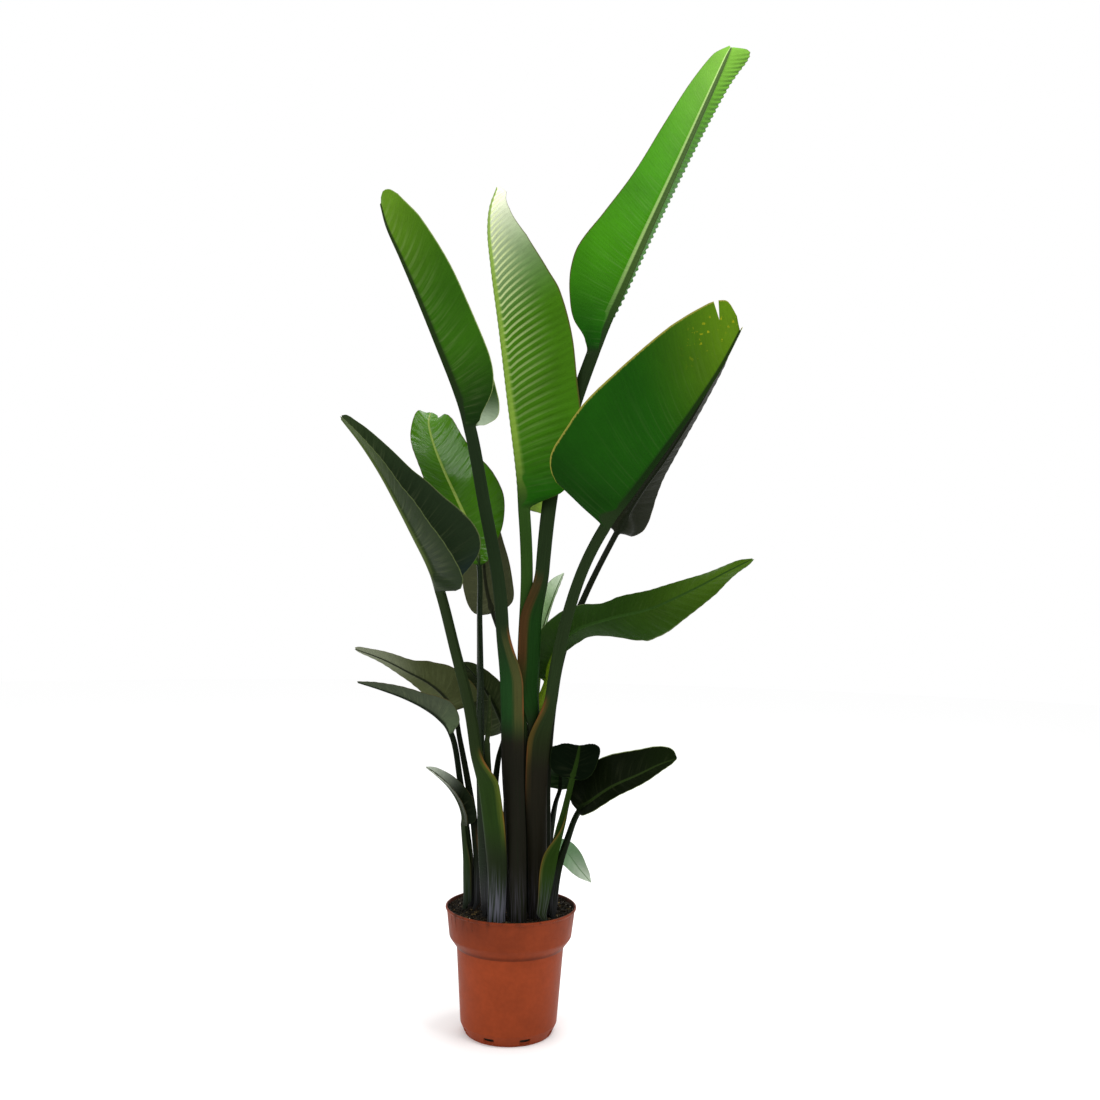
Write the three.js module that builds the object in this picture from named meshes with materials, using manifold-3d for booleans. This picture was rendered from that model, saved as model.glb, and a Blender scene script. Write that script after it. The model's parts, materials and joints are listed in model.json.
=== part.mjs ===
// Potted bird of paradise: a plastic nursery pot filled with soil, and nineteen leaves.
// Millimetres, +Z up. The origin is the middle of the pot's underside, on the floor.
// Each leaf grew as one piece, so each is one closed skin: root, clasping sheath, channelled
// stalk, midrib and folded blade, lofted along one curve of hand-chosen points.
import * as THREE from 'three';
import { mergeVertices } from 'three/addons/utils/BufferGeometryUtils.js';
import Module from 'manifold-3d';

const wasm = await Module();
wasm.setup();

// Pot, a common 24 cm nursery pot
const RIM_RADIUS = 120;
const POT_HEIGHT = 225;
const WALL = 2;
const BASE_THICKNESS = 3;
const BASE_RADIUS = 79;
const BEVEL_RADIUS = 88;
const BEVEL_TOP = 19;
const SHOULDER_RADIUS = 98;
const SHOULDER_BOTTOM = 146;
const BAND_RADIUS = 112;
const BAND_BOTTOM = 163;
const BAND_STEP = 1.5;
const BAND_RISE = 3;
const LIP = 4;
const LIP_STEP = 1.5;
const LIP_EDGE = 1;
const POT_SIDES = 36;
const SLOT_COUNT = 8;
const SLOT_WIDTH = 20;
const SLOT_HEIGHT = 10;
const SLOT_REACH = 12;
const SLOT_LIFT = 0.5;

// Soil
const CLEARANCE = 0.4;
const SOIL_TOP = 212;
const SOIL_MOUND = 4;
const SOIL_RINGS = 4;
const SOIL_EDGE_GAP = 1.5;
const CRUMB_HEIGHT = 1.2;
const CRUMB_SHARE = 0.6;
const BROAD_PITCH = [30, 37];
const FINE_PITCH = [13.4, 16.1];
const HOLE_FLOOR = 170;
const HOLE_SIDES = 14;
const HOLE_CLEARANCE = 0.8;

// Roots and collars
const ROOT_BOTTOM = HOLE_FLOOR + 0.3;
const ROOT_SPREAD = THREE.MathUtils.degToRad(80);
const COLLAR = SOIL_TOP + SOIL_MOUND + 3;
const COLLAR_BLEND = 14;

// Sections of a leaf. A share is of the half width, of the stalk's half width or of the way
// from base to tip.
const COLUMNS = 4;
const FIRST_COLUMN = 0.25;
const TANGENT_STEP = 0.02;
const FACE_TURN_START = 0.35;
const STALK_FOLD = 34;
const UPRIGHT = [4, 4];
const STALK_DEPTH = 1.7;
const BLADE_MIDDLE = 1.8;
const BLADE_EDGE = 1;
const STALK_SKIN = 2.4;
const SHEATH_EDGE = 1.6;
const SHEATH_BULGE = 2.2;
const TIP_RIB = 1.2;
const RIB_FADE = 0.12;
const RIB_EDGE = 1.08;
const RIB_SWEEP = 1.3;
const NECK = 0.06;
const END_CROWDING = 0.07;
const NOTCH_HALF = 0.014;
const NOTCH_CLEAR = 0.9;
const TIP_RIB_POWER = 0.7;
const INNER_RIBS_START = 0.22;
const INNER_RIBS_STRETCH = 0.8;
const RIBS_RISE = [0.02, 0.12];
const RIBS_FALL = [0.9, 1];
const WAVE_START = 0.2;
const WAVE_SHIFT = 0.35;
const WAVE_RISE = [0, 0.15];
const WAVE_FALL = [0.85, 1];

const mesh = (name, geometry, colour, roughness) => {
  const material = new THREE.MeshStandardMaterial({ color: colour, roughness, metalness: 0 });
  const result = new THREE.Mesh(geometry, material);
  result.name = name;
  return result;
};

// Boolean cuts
function toSolid(geometry) {
  const bare = geometry.clone();
  bare.deleteAttribute('normal');
  bare.deleteAttribute('uv');
  const merged = mergeVertices(bare, 1e-4);
  return new wasm.Manifold(new wasm.Mesh({
    numProp: 3,
    vertProperties: new Float32Array(merged.attributes.position.array),
    triVerts: new Uint32Array(merged.index.array),
  }));
}

function toGeometry(solid) {
  const { numProp, vertProperties, triVerts } = solid.getMesh();
  const places = new Float32Array((vertProperties.length / numProp) * 3);
  for (let i = 0; i < places.length / 3; i++) {
    places.set(vertProperties.subarray(i * numProp, i * numProp + 3), i * 3);
  }
  const geometry = new THREE.BufferGeometry();
  geometry.setAttribute('position', new THREE.BufferAttribute(places, 3));
  geometry.setIndex(new THREE.BufferAttribute(new Uint32Array(triVerts), 1));
  geometry.computeVertexNormals();
  return geometry;
}

function cutAway(geometry, cutters) {
  let solid = toSolid(geometry);
  for (const cutter of cutters) {
    solid = solid.subtract(toSolid(cutter));
  }
  return toGeometry(solid);
}

// A lathe about +Z from [radius, height] pairs
function turned(profile, sides) {
  const geometry = new THREE.LatheGeometry(profile.map(([r, z]) => new THREE.Vector2(r, z)), sides);
  geometry.rotateX(Math.PI / 2);
  return geometry;
}

// Smooth curve through [place, value] pairs
function through(keys, x) {
  const last = keys.length - 1;
  if (x <= keys[0][0]) return keys[0][1];
  if (x >= keys[last][0]) return keys[last][1];
  let i = 0;
  while (x > keys[i + 1][0]) i++;
  const slope = (k) => {
    const before = keys[Math.max(k - 1, 0)];
    const after = keys[Math.min(k + 1, last)];
    return (after[1] - before[1]) / (after[0] - before[0]);
  };
  const span = keys[i + 1][0] - keys[i][0];
  const f = (x - keys[i][0]) / span;
  const rise = keys[i + 1][1] - keys[i][1];
  const m0 = slope(i) * span;
  const m1 = slope(i + 1) * span;
  return keys[i][1] + f * (m0 + f * (3 * rise - 2 * m0 - m1 + f * (m0 + m1 - 2 * rise)));
}

const mix = THREE.MathUtils.lerp;
const ease = THREE.MathUtils.smoothstep;

// Width of half a blade, as a share of its widest, against the way from base (0) to tip (1)
const PADDLE = [[0, 0.08], [0.03, 0.35], [0.07, 0.72], [0.12, 0.92], [0.2, 1], [0.32, 0.97],
  [0.45, 0.86], [0.6, 0.68], [0.75, 0.46], [0.88, 0.25], [1, 0.02]];
const SHOULDERED = [[0, 0.07], [0.03, 0.15], [0.075, 0.52], [0.12, 0.75], [0.17, 0.95], [0.21, 1],
  [0.29, 0.84], [0.4, 0.66], [0.53, 0.54], [0.65, 0.43], [0.8, 0.27], [0.9, 0.15], [1, 0.03]];
const HANGING = [[0, 0.05], [0.1, 0.2], [0.2, 0.34], [0.4, 0.4], [0.6, 0.36], [0.75, 0.4],
  [0.88, 0.5], [0.96, 0.4], [1, 0.05]];
const EVEN = [[0, 0.08], [0.03, 0.2], [0.08, 0.5], [0.12, 0.76], [0.16, 0.92], [0.21, 1], [0.37, 1],
  [0.48, 0.97], [0.64, 0.82], [0.76, 0.65], [0.87, 0.49], [0.95, 0.36], [1, 0.1]];
const TAPERED = [[0, 0.08], [0.03, 0.5], [0.07, 0.8], [0.13, 0.93], [0.25, 0.98], [0.33, 1],
  [0.42, 0.92], [0.47, 0.8], [0.57, 0.56], [0.7, 0.34], [0.8, 0.24], [0.88, 0.2], [0.94, 0.14],
  [1, 0.03]];
const LONG = [[0, 0.08], [0.03, 0.5], [0.07, 0.8], [0.13, 0.93], [0.25, 0.98], [0.33, 1], [0.42, 0.92],
  [0.47, 0.79], [0.57, 0.56], [0.7, 0.33], [0.85, 0.16], [0.93, 0.09], [1, 0.02]];
const CLIPPED = [[0, 0.08], [0.08, 0.12], [0.16, 0.3], [0.24, 0.54], [0.3, 0.6], [0.37, 0.8],
  [0.43, 1.08], [0.49, 0.9], [0.6, 0.6], [0.75, 0.38], [0.88, 0.22], [1, 0.03]];
const DIPPED = [[0, 0.08], [0.03, 0.35], [0.08, 0.72], [0.14, 0.95], [0.22, 1], [0.3, 0.88], [0.37, 0.68],
  [0.46, 0.66], [0.6, 0.55], [0.75, 0.38], [0.88, 0.22], [1, 0.02]];
const STRAP = [[0, 0.08], [0.03, 0.6], [0.07, 0.95], [0.12, 1], [0.2, 0.8], [0.3, 0.56], [0.45, 0.44],
  [0.6, 0.4], [0.8, 0.3], [1, 0.02]];
const BROAD = [[0, 0.08], [0.02, 0.6], [0.04, 0.84], [0.07, 0.96], [0.13, 1], [0.24, 1], [0.37, 0.9],
  [0.53, 0.74], [0.67, 0.57], [0.8, 0.41], [0.9, 0.3], [0.96, 0.22], [1, 0.09]];
const NARROWED = [[0, 0.08], [0.02, 0.6], [0.04, 0.84], [0.07, 0.96], [0.13, 1], [0.24, 1], [0.37, 0.9],
  [0.53, 0.74], [0.67, 0.57], [0.8, 0.36], [0.9, 0.18], [0.96, 0.07], [1, 0.02]];
const LOBED = [[0, 0.08], [0.02, 0.5], [0.04, 0.78], [0.09, 1], [0.24, 0.88], [0.32, 0.73],
  [0.41, 0.62], [0.5, 0.47], [0.66, 0.34], [0.85, 0.19], [0.95, 0.12], [1, 0.04]];
const SLOPED = [[0, 0.08], [0.03, 0.3], [0.07, 0.62], [0.12, 0.9], [0.18, 1], [0.26, 0.9], [0.34, 0.75],
  [0.43, 0.62], [0.52, 0.48], [0.66, 0.34], [0.85, 0.19], [0.95, 0.12], [1, 0.04]];
const LATE = [[0, 0.08], [0.04, 0.2], [0.1, 0.42], [0.16, 0.72], [0.22, 0.96], [0.28, 1], [0.36, 0.95],
  [0.45, 0.86], [0.6, 0.68], [0.75, 0.46], [0.88, 0.25], [1, 0.02]];
const LANCE = [[0, 0.1], [0.15, 0.6], [0.35, 1], [0.55, 0.9], [0.75, 0.58], [0.92, 0.2], [1, 0.04]];

// How far the ribs lead towards the tip at the edge, as a share of the half width
const RIB_LEAD = [[0, -0.3], [0.04, -0.25], [0.12, -0.05], [0.2, 0.25], [0.3, 0.45], [0.45, 0.6],
  [0.6, 0.8], [0.75, 1.05], [0.88, 1.2], [1, 1.2]];
const RAISED_LEAD = [[0, 0.1], [0.04, 0.12], [0.12, 0.15], [0.2, 0.25], [0.3, 0.45], [0.45, 0.6],
  [0.6, 0.8], [0.75, 1], [0.88, 1.1], [1, 1.1]];
const ROUND_LEAD = [[0, -0.3], [0.04, -0.25], [0.12, -0.05], [0.2, 0.25], [0.3, 0.45], [0.45, 0.6],
  [0.6, 0.8], [0.75, 1.05], [0.88, 1.1], [0.95, 0.8], [1, 0.3]];
const HUNG_LEAD = [[0, -0.4], [0.04, -0.5], [0.12, -0.35], [0.2, 0.05], [0.3, 0.4], [0.45, 0.6],
  [0.6, 0.8], [0.75, 1.05], [0.88, 1.2], [1, 1.2]];
const SQUARE_LEAD = [[0, -0.1], [0.04, 0], [0.13, 0.1], [0.24, 0.3], [0.38, 0.5], [0.55, 0.75],
  [0.7, 1], [0.85, 1.2], [1, 1.3]];

// Leaves. foot: where the root stands; a leaf that is within another one's sheath shares its
// hole. stalk: points up to the blade. blade: the midrib, from the blade's base to its tip.
// faces: where the upper side looks, at the root, the blade's base and the tip. wide: half
// widths on the two sides. fold: how far each half is raised, in degrees, at base, middle and
// tip. curl: further turn out to the edge. sheath: its radius, the wrap and lean of each half in
// degrees and how much of each half there is, at the soil and at the height up to which it is
// whole, and the height where it ends in the stalk. begin: the heights between which it opens
// out of a plain stalk. turnStart: where the upper side starts to turn, as a share of the stalk.
const BARE = { radius: [0, 0], wrap: [0, 0], whole: 0, end: 0 };
const both = (value) => [value, value];
const LEAVES = [
  {
    name: 'leaf_top_right',
    colour: '#5f9a2e',
    foot: [46, -56], footRadius: 6, within: true, stalkWidth: [12, 21],
    stalk: [[45, -66, 330], [40, -80, 466], [38, -83, 560], [40, -76, 660], [44, -56, 790],
      [68, -12, 1025]],
    blade: [[135, -14, 1250], [180, -6, 1360], [235, 10, 1495], [295, 40, 1640],
      [345, 70, 1765], [383, 100, 1862], [405, 125, 1920]],
    faces: [[-1, 0, 0], [-0.6, 0.76, 0.24], [-0.5, 0.7, 0.4]],
    wide: [98, 110], shape: [HANGING, SHOULDERED],
    fold: [[30, 26, -40], [42, 42, 30]], curl: [[0, 10, 20], [0, 6, 5]],
    ribs: { height: 2.2, sides: [1, 0.12] },
    sheath: {
      radius: both(47), wrap: both(45), lean: both(52), halves: [0.45, 1],
      begin: [545, 640], whole: 740, end: 840,
    },
    turnStart: 0.75, stations: [15, 32],
  },
  {
    name: 'leaf_upper_left',
    colour: '#3b6318',
    foot: [17, -80], footRadius: 0, stalkWidth: [20, 15],
    stalk: [[-4, -83, 350], [-15, -86, 470], [-21, -89, 607], [-31, -95, 790], [-64, -110, 960]],
    blade: [[-90, -130, 1085], [-113, -140, 1150], [-145, -150, 1225], [-180, -158, 1305],
      [-212, -165, 1375], [-238, -170, 1430], [-249, -172, 1467]],
    faces: [[1, 0, 0], [0.87, 0.15, 0.45], [0.8, 0.1, 0.6]],
    wide: [75, 84], shape: [EVEN, PADDLE], lead: [ROUND_LEAD, HUNG_LEAD],
    fold: [[62, 66, 50], [52, 66, 50]], curl: both([10, 0, 0]),
    sheath: { radius: [13, 49], wrap: [160, 45], lean: [4, 52], halves: [1, 0.5], whole: 630, end: 740 },
    stations: [13, 14],
  },
  {
    name: 'leaf_centre',
    colour: '#4f8a1c',
    foot: [17, -80], footRadius: 6.5, within: true, stalkWidth: [11, 16],
    stalk: [[15, -83, 320], [14, -82, 440], [13, -82, 600], [12, -72, 700], [14, -48, 831]],
    blade: [[6, -40, 950], [-4, -30, 1030], [-24, -10, 1160], [-44, 10, 1295], [-64, 25, 1420],
      [-74, 40, 1500], [-72, 46, 1548], [-60, 52, 1590]],
    faces: [[1, 0, 0], [0.85, 0.45, 0.1], [0.85, 0.3, -0.2]],
    wide: [130, 116], shape: [TAPERED, LONG], lead: [RAISED_LEAD, RIB_LEAD],
    fold: both([56, 55, 45]), curl: both([5, 0, 0]),
    ribs: { height: 2, sides: [0.8, 0.8], inner: true },
    sheath: BARE, stations: [11, 37],
  },
  {
    name: 'leaf_front_right',
    colour: '#2c5a0c',
    foot: [46, -56], footRadius: 0, stalkWidth: [18, 15],
    stalk: [[60, -68, 345], [59, -83, 466], [67, -91, 600], [84, -117, 714], [114, -174, 828]],
    blade: [[150, -230, 905], [190, -280, 960], [233, -335, 1020], [275, -390, 1082],
      [307, -438, 1136], [327, -468, 1179]],
    faces: [[-1, 0, 0], [-0.4, 0.53, 0.74], [-0.4, 0.6, 0.7]],
    wide: [120, 148], shape: [NARROWED, BROAD], lead: both(SQUARE_LEAD),
    fold: both([50, 52, 40]), curl: both([12, 8, 0]),
    notches: [{ side: 1, at: 0.86, depth: 0.55 }],
    sheath: { radius: [12.5, 47], wrap: [160, 45], lean: [4, 54], halves: [0.5, 1], whole: 525, end: 620 },
    stations: [13, 17],
  },
  {
    name: 'leaf_behind_right',
    colour: '#24420d',
    foot: [66, -38], footRadius: 5.5, stalkWidth: [12, 9],
    stalk: [[64, -36, 330], [62, -28, 495], [84, -10, 680], [126, -4, 795]],
    blade: [[180, -42, 910], [215, -68, 975], [263, -100, 1045], [308, -130, 1120],
      [345, -155, 1190], [362, -168, 1228]],
    faces: [[-1, 0, 0], [-0.35, 0.85, 0.4], [-0.5, 0.7, 0.5]],
    wide: [58, 66], shape: [STRAP, PADDLE],
    fold: [[0, 24, 30], [30, 38, 30]], curl: [[10, 10, 0], [0, 0, 0]],
    sheath: BARE, stations: [8, 14], columns: 3,
  },
  {
    name: 'leaf_front_left',
    colour: '#253317',
    foot: [-21, -82], footRadius: 0, stalkWidth: [18, 13],
    stalk: [[-37, -86, 300], [-48, -95, 400], [-64, -103, 500], [-79, -113, 590], [-105, -140, 695]],
    blade: [[-130, -175, 795], [-146, -190, 838], [-172, -212, 890], [-198, -230, 940],
      [-226, -245, 990], [-256, -260, 1035], [-286, -270, 1072]],
    faces: [[1, 0, 0], [0.82, -0.49, 0.29], [0.8, -0.4, 0.4]],
    wide: [92, 96], shape: [LOBED, SLOPED], lead: both(SQUARE_LEAD),
    fold: both([53, 53, 40]), curl: both([14, 6, 0]),
    sheath: { radius: [13, 47], wrap: [160, 45], lean: [4, 52], halves: [1, 0.5], whole: 440, end: 515 },
    stations: [13, 14],
  },
  {
    name: 'leaf_behind_left',
    colour: '#5d7d34',
    foot: [-44, -54], footRadius: 5.5, stalkWidth: [12, 9],
    stalk: [[-52, -60, 335], [-59, -70, 495], [-62, -70, 605], [-68, -56, 745]],
    blade: [[-72, -40, 845], [-88, -28, 905], [-116, -16, 965], [-145, -4, 1024],
      [-168, 12, 1078], [-180, 34, 1120], [-180, 62, 1145]],
    faces: [[1, 0, 0], [0.3, -0.85, 0.4], [0.3, -0.6, 0.75]],
    wide: [62, 88], shape: [PADDLE, LATE],
    fold: [[24, 14, 4], [12, 6, 0]], curl: [[0, -12, -15], [0, 0, 0]],
    wave: { height: 6, count: 2.5 }, notches: [{ side: 1, at: 0.9, depth: 0.3 }],
    sheath: BARE, stations: [8, 15],
  },
  {
    name: 'leaf_back_left',
    colour: '#4c5230',
    foot: [0, -48], footRadius: 5.5, stalkWidth: [11, 8],
    stalk: [[-8, -38, 320], [-12, -25, 490], [-17, -10, 620], [-26, 0, 700]],
    blade: [[-47, 10, 760], [-60, 15, 805], [-68, 25, 860], [-73, 40, 920], [-80, 62, 965]],
    faces: [[1, 0, 0], [0.1, 0.95, -0.2], [0.1, 0.95, -0.2]],
    wide: [52, 46], shape: both(PADDLE), fold: both([20, 15, 10]), curl: both([0, -10, 0]),
    sheath: BARE, stations: [7, 9], columns: 3,
  },
  {
    name: 'leaf_middle_right',
    colour: '#2f5f17',
    foot: [28, -30], footRadius: 5.5, stalkWidth: [13, 10],
    stalk: [[28, -34, 330], [31, -36, 440], [40, -36, 540]],
    blade: [[50, -38, 635], [66, -44, 690], [108, -54, 728], [168, -62, 752], [240, -70, 772],
      [315, -78, 808], [372, -84, 840], [420, -88, 866]],
    faces: [[-1, 0, 0], [-0.5, -0.5, 0.7], [-0.15, -0.75, 0.65]],
    wide: [60, 80], shape: [DIPPED, CLIPPED],
    fold: [[30, 18, 10], [20, 4, 6]], curl: [[-20, -10, 0], [-10, -8, 0]],
    wave: { height: 7, count: 2 },
    sheath: BARE, stations: [7, 18],
  },
  {
    name: 'leaf_lower_left_high',
    colour: '#3c4526',
    foot: [-64, -14], footRadius: 5.5, stalkWidth: [11, 7],
    stalk: [[-66, -12, 300], [-72, -8, 380], [-86, 0, 450], [-103, 5, 525]],
    blade: [[-115, 10, 575], [-135, 14, 603], [-165, 20, 626], [-205, 22, 646], [-252, 26, 668],
      [-305, 30, 686]],
    faces: [[1, 0, 0], [0.35, 0.85, 0.4], [0.2, 0.8, 0.55]],
    wide: [60, 50], shape: both(LOBED), fold: both([15, 12, 10]), curl: both([0, -8, 0]),
    sheath: { radius: both(7), wrap: both(110), whole: 290, end: 370 }, stations: [7, 10], columns: 3,
  },
  {
    name: 'leaf_lower_left',
    colour: '#4a5b40',
    foot: [-72, 12], footRadius: 5.5, stalkWidth: [11, 7],
    stalk: [[-79, 10, 300], [-89, 3, 380], [-99, -9, 450]],
    blade: [[-115, -42, 540], [-136, -55, 568], [-162, -62, 587], [-198, -70, 605],
      [-240, -76, 620], [-280, -80, 632]],
    faces: [[1, 0, 0], [0.45, 0.3, 0.85], [0.1, 0.5, 0.85]],
    wide: [44, 42], shape: both(SHOULDERED), fold: both([30, 30, 20]), curl: both([10, 0, 0]),
    sheath: BARE, stations: [6, 10], columns: 3,
  },
  {
    name: 'leaf_middle_left',
    colour: '#3b4526',
    foot: [-22, -44], footRadius: 5, stalkWidth: [10, 7],
    stalk: [[-30, -30, 290], [-35, -20, 415], [-30, -10, 490]],
    blade: [[-20, 0, 540], [-32, 6, 572], [-50, 13, 605], [-74, 22, 637], [-102, 34, 665]],
    faces: [[1, 0, 0], [0.5, 0.75, 0.3], [0.5, 0.75, 0.3]],
    wide: [38, 64], shape: both(PADDLE), fold: [[25, 20, 10], [5, 0, 0]], curl: both([0, -10, 0]),
    sheath: BARE, stations: [6, 9], columns: 3,
  },
  {
    name: 'leaf_low_left',
    colour: '#2c3a1c',
    foot: [-84, -6], footRadius: 5.5, stalkWidth: [12, 9],
    stalk: [[-86, -8, 290], [-87, -10, 335]],
    blade: [[-90, -16, 372], [-92, -20, 392], [-101, -25, 417], [-118, -28, 442], [-140, -27, 462],
      [-160, -24, 476]],
    faces: [[1, 0, 0], [0.7, -0.55, 0.3], [0.5, -0.5, 0.7]],
    wide: [22, 24], shape: both(PADDLE), fold: both([45, 45, 30]), curl: both([20, 10, 0]),
    sheath: { radius: both(7.5), wrap: both(110), whole: 300, end: 355 }, stations: [6, 9], columns: 3,
  },
  {
    name: 'leaf_low_right',
    colour: '#1c2a10',
    foot: [76, -54], footRadius: 5.5, stalkWidth: [11, 8],
    stalk: [[84, -58, 300], [99, -64, 354]],
    blade: [[120, -70, 410], [142, -78, 430], [176, -90, 457], [222, -104, 482], [258, -112, 502],
      [286, -120, 514]],
    faces: [[-1, 0, 0], [-0.5, -0.65, 0.6], [-0.3, -0.75, 0.6]],
    wide: [60, 32], shape: both(PADDLE), fold: [[18, 10, 6], [24, 14, 8]], curl: both([0, -8, 0]),
    sheath: BARE, stations: [6, 11], columns: 3,
  },
  {
    name: 'leaf_low_right_sheathed',
    colour: '#1d3316',
    foot: [60, -81], footRadius: 7, stalkWidth: [14, 10],
    stalk: [[69, -87, 270], [82, -92, 345], [93, -92, 405]],
    blade: [[107, -82, 468], [112, -72, 486], [116, -48, 499], [119, -8, 507], [121, 32, 510],
      [122, 68, 509]],
    faces: [[-1, 0, 0], [-0.15, -0.75, 0.6], [0, -0.15, 1]],
    wide: [50, 44], shape: both(PADDLE), fold: both([26, 14, 8]), curl: both([0, 0, 0]),
    sheath: { radius: [8, 32], wrap: [118, 50], lean: [4, 46], halves: [0.4, 1], whole: 330, end: 425 },
    stations: [9, 10], columns: 3,
  },
  {
    name: 'leaf_low_right_back',
    colour: '#1a2a12',
    foot: [62, -14], footRadius: 5, stalkWidth: [9, 7],
    stalk: [[65, -15, 300], [71, -17, 366], [79, -15, 415]],
    blade: [[86, -10, 438], [86, 2, 460], [78, 20, 478], [64, 44, 490], [46, 72, 494]],
    faces: [[-1, 0, 0], [-0.2, -0.85, 0.4], [-0.2, -0.3, 0.9]],
    wide: [36, 38], shape: both(PADDLE), fold: both([25, 18, 10]), curl: both([0, 0, 0]),
    sheath: BARE, stations: [6, 9], columns: 3,
  },
  {
    name: 'leaf_low_back',
    colour: '#6f8f63',
    foot: [26, 24], footRadius: 4.5, stalkWidth: [8, 5],
    stalk: [[38, 32, 290]],
    blade: [[66, 52, 322], [86, 62, 318], [107, 72, 299], [128, 81, 272], [150, 90, 246]],
    faces: [[-1, -0.3, 0], [-0.3, -0.75, 0.6], [-0.5, -0.75, 0.4]],
    wide: [21, 20], shape: both(LANCE), fold: both([14, 8, 6]), curl: both([0, 0, 0]),
    sheath: BARE, stations: [5, 8], columns: 3,
  },
  {
    name: 'leaf_young_back',
    colour: '#6d8f4b',
    foot: [40, -4], footRadius: 4.5, stalkWidth: [8, 6],
    stalk: [[38, 2, 330], [36, 10, 520], [42, 18, 650]],
    blade: [[49, 22, 722], [55, 28, 750], [63, 34, 778], [73, 42, 808], [85, 52, 838]],
    faces: [[-1, 0, 0], [-0.6, -0.7, 0.3], [-0.6, -0.7, 0.3]],
    wide: [26, 24], shape: both(LANCE), fold: both([45, 40, 30]), curl: both([20, 0, 0]),
    sheath: BARE, stations: [6, 8], columns: 3,
  },
  {
    name: 'leaf_spear',
    colour: '#1f2b14',
    foot: [-21, -82], footRadius: 4, within: true, stalkWidth: [7, 7],
    stalk: [[-22, -85, 300], [-32, -94, 400], [-43, -101, 490]],
    blade: [[-46, -100, 530], [-46, -96, 560], [-45, -91, 590], [-44, -86, 615]],
    faces: [[1, 0, 0], [1, 0, 0], [1, 0, 0]],
    wide: [5, 5], shape: both(LANCE), fold: both([50, 50, 50]), curl: both([60, 60, 60]),
    sheath: BARE, stations: [6, 4], columns: 3,
  },
];

// Places along the leaf where a section stands: the root, the collar, the stalk and the blade
function leafStations(leaf, start, last) {
  const [stalkSteps, bladeSteps] = leaf.stations;
  const stations = [{ q: 0 }];
  for (let i = 0; i <= stalkSteps; i++) {
    stations.push({ q: 1 + ((start - 1) * i) / stalkSteps });
  }
  const blade = [];
  for (let i = 1; i <= bladeSteps; i++) {
    const even = i / bladeSteps;
    const t = leaf.ribs ? even : even - Math.sin(2 * Math.PI * even) * END_CROWDING;
    blade.push({ t, ridge: i % 2 ? 1 : -1 });
  }
  for (const notch of leaf.notches ?? []) {
    blade.push({ t: notch.at - NOTCH_HALF, ridge: 0 });
    blade.push({ t: notch.at, ridge: 0, notch });
    blade.push({ t: notch.at + NOTCH_HALF, ridge: 0 });
  }
  blade.sort((a, b) => a.t - b.t);
  const apart = blade.filter((station, i) => {
    const near = (leaf.notches ?? []).some((n) => Math.abs(station.t - n.at) < NOTCH_CLEAR * NOTCH_HALF);
    return !near || station.notch || i === blade.length - 1;
  });
  for (const station of apart) {
    stations.push({ ...station, q: mix(start, last, station.t) });
  }
  return stations;
}

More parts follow.
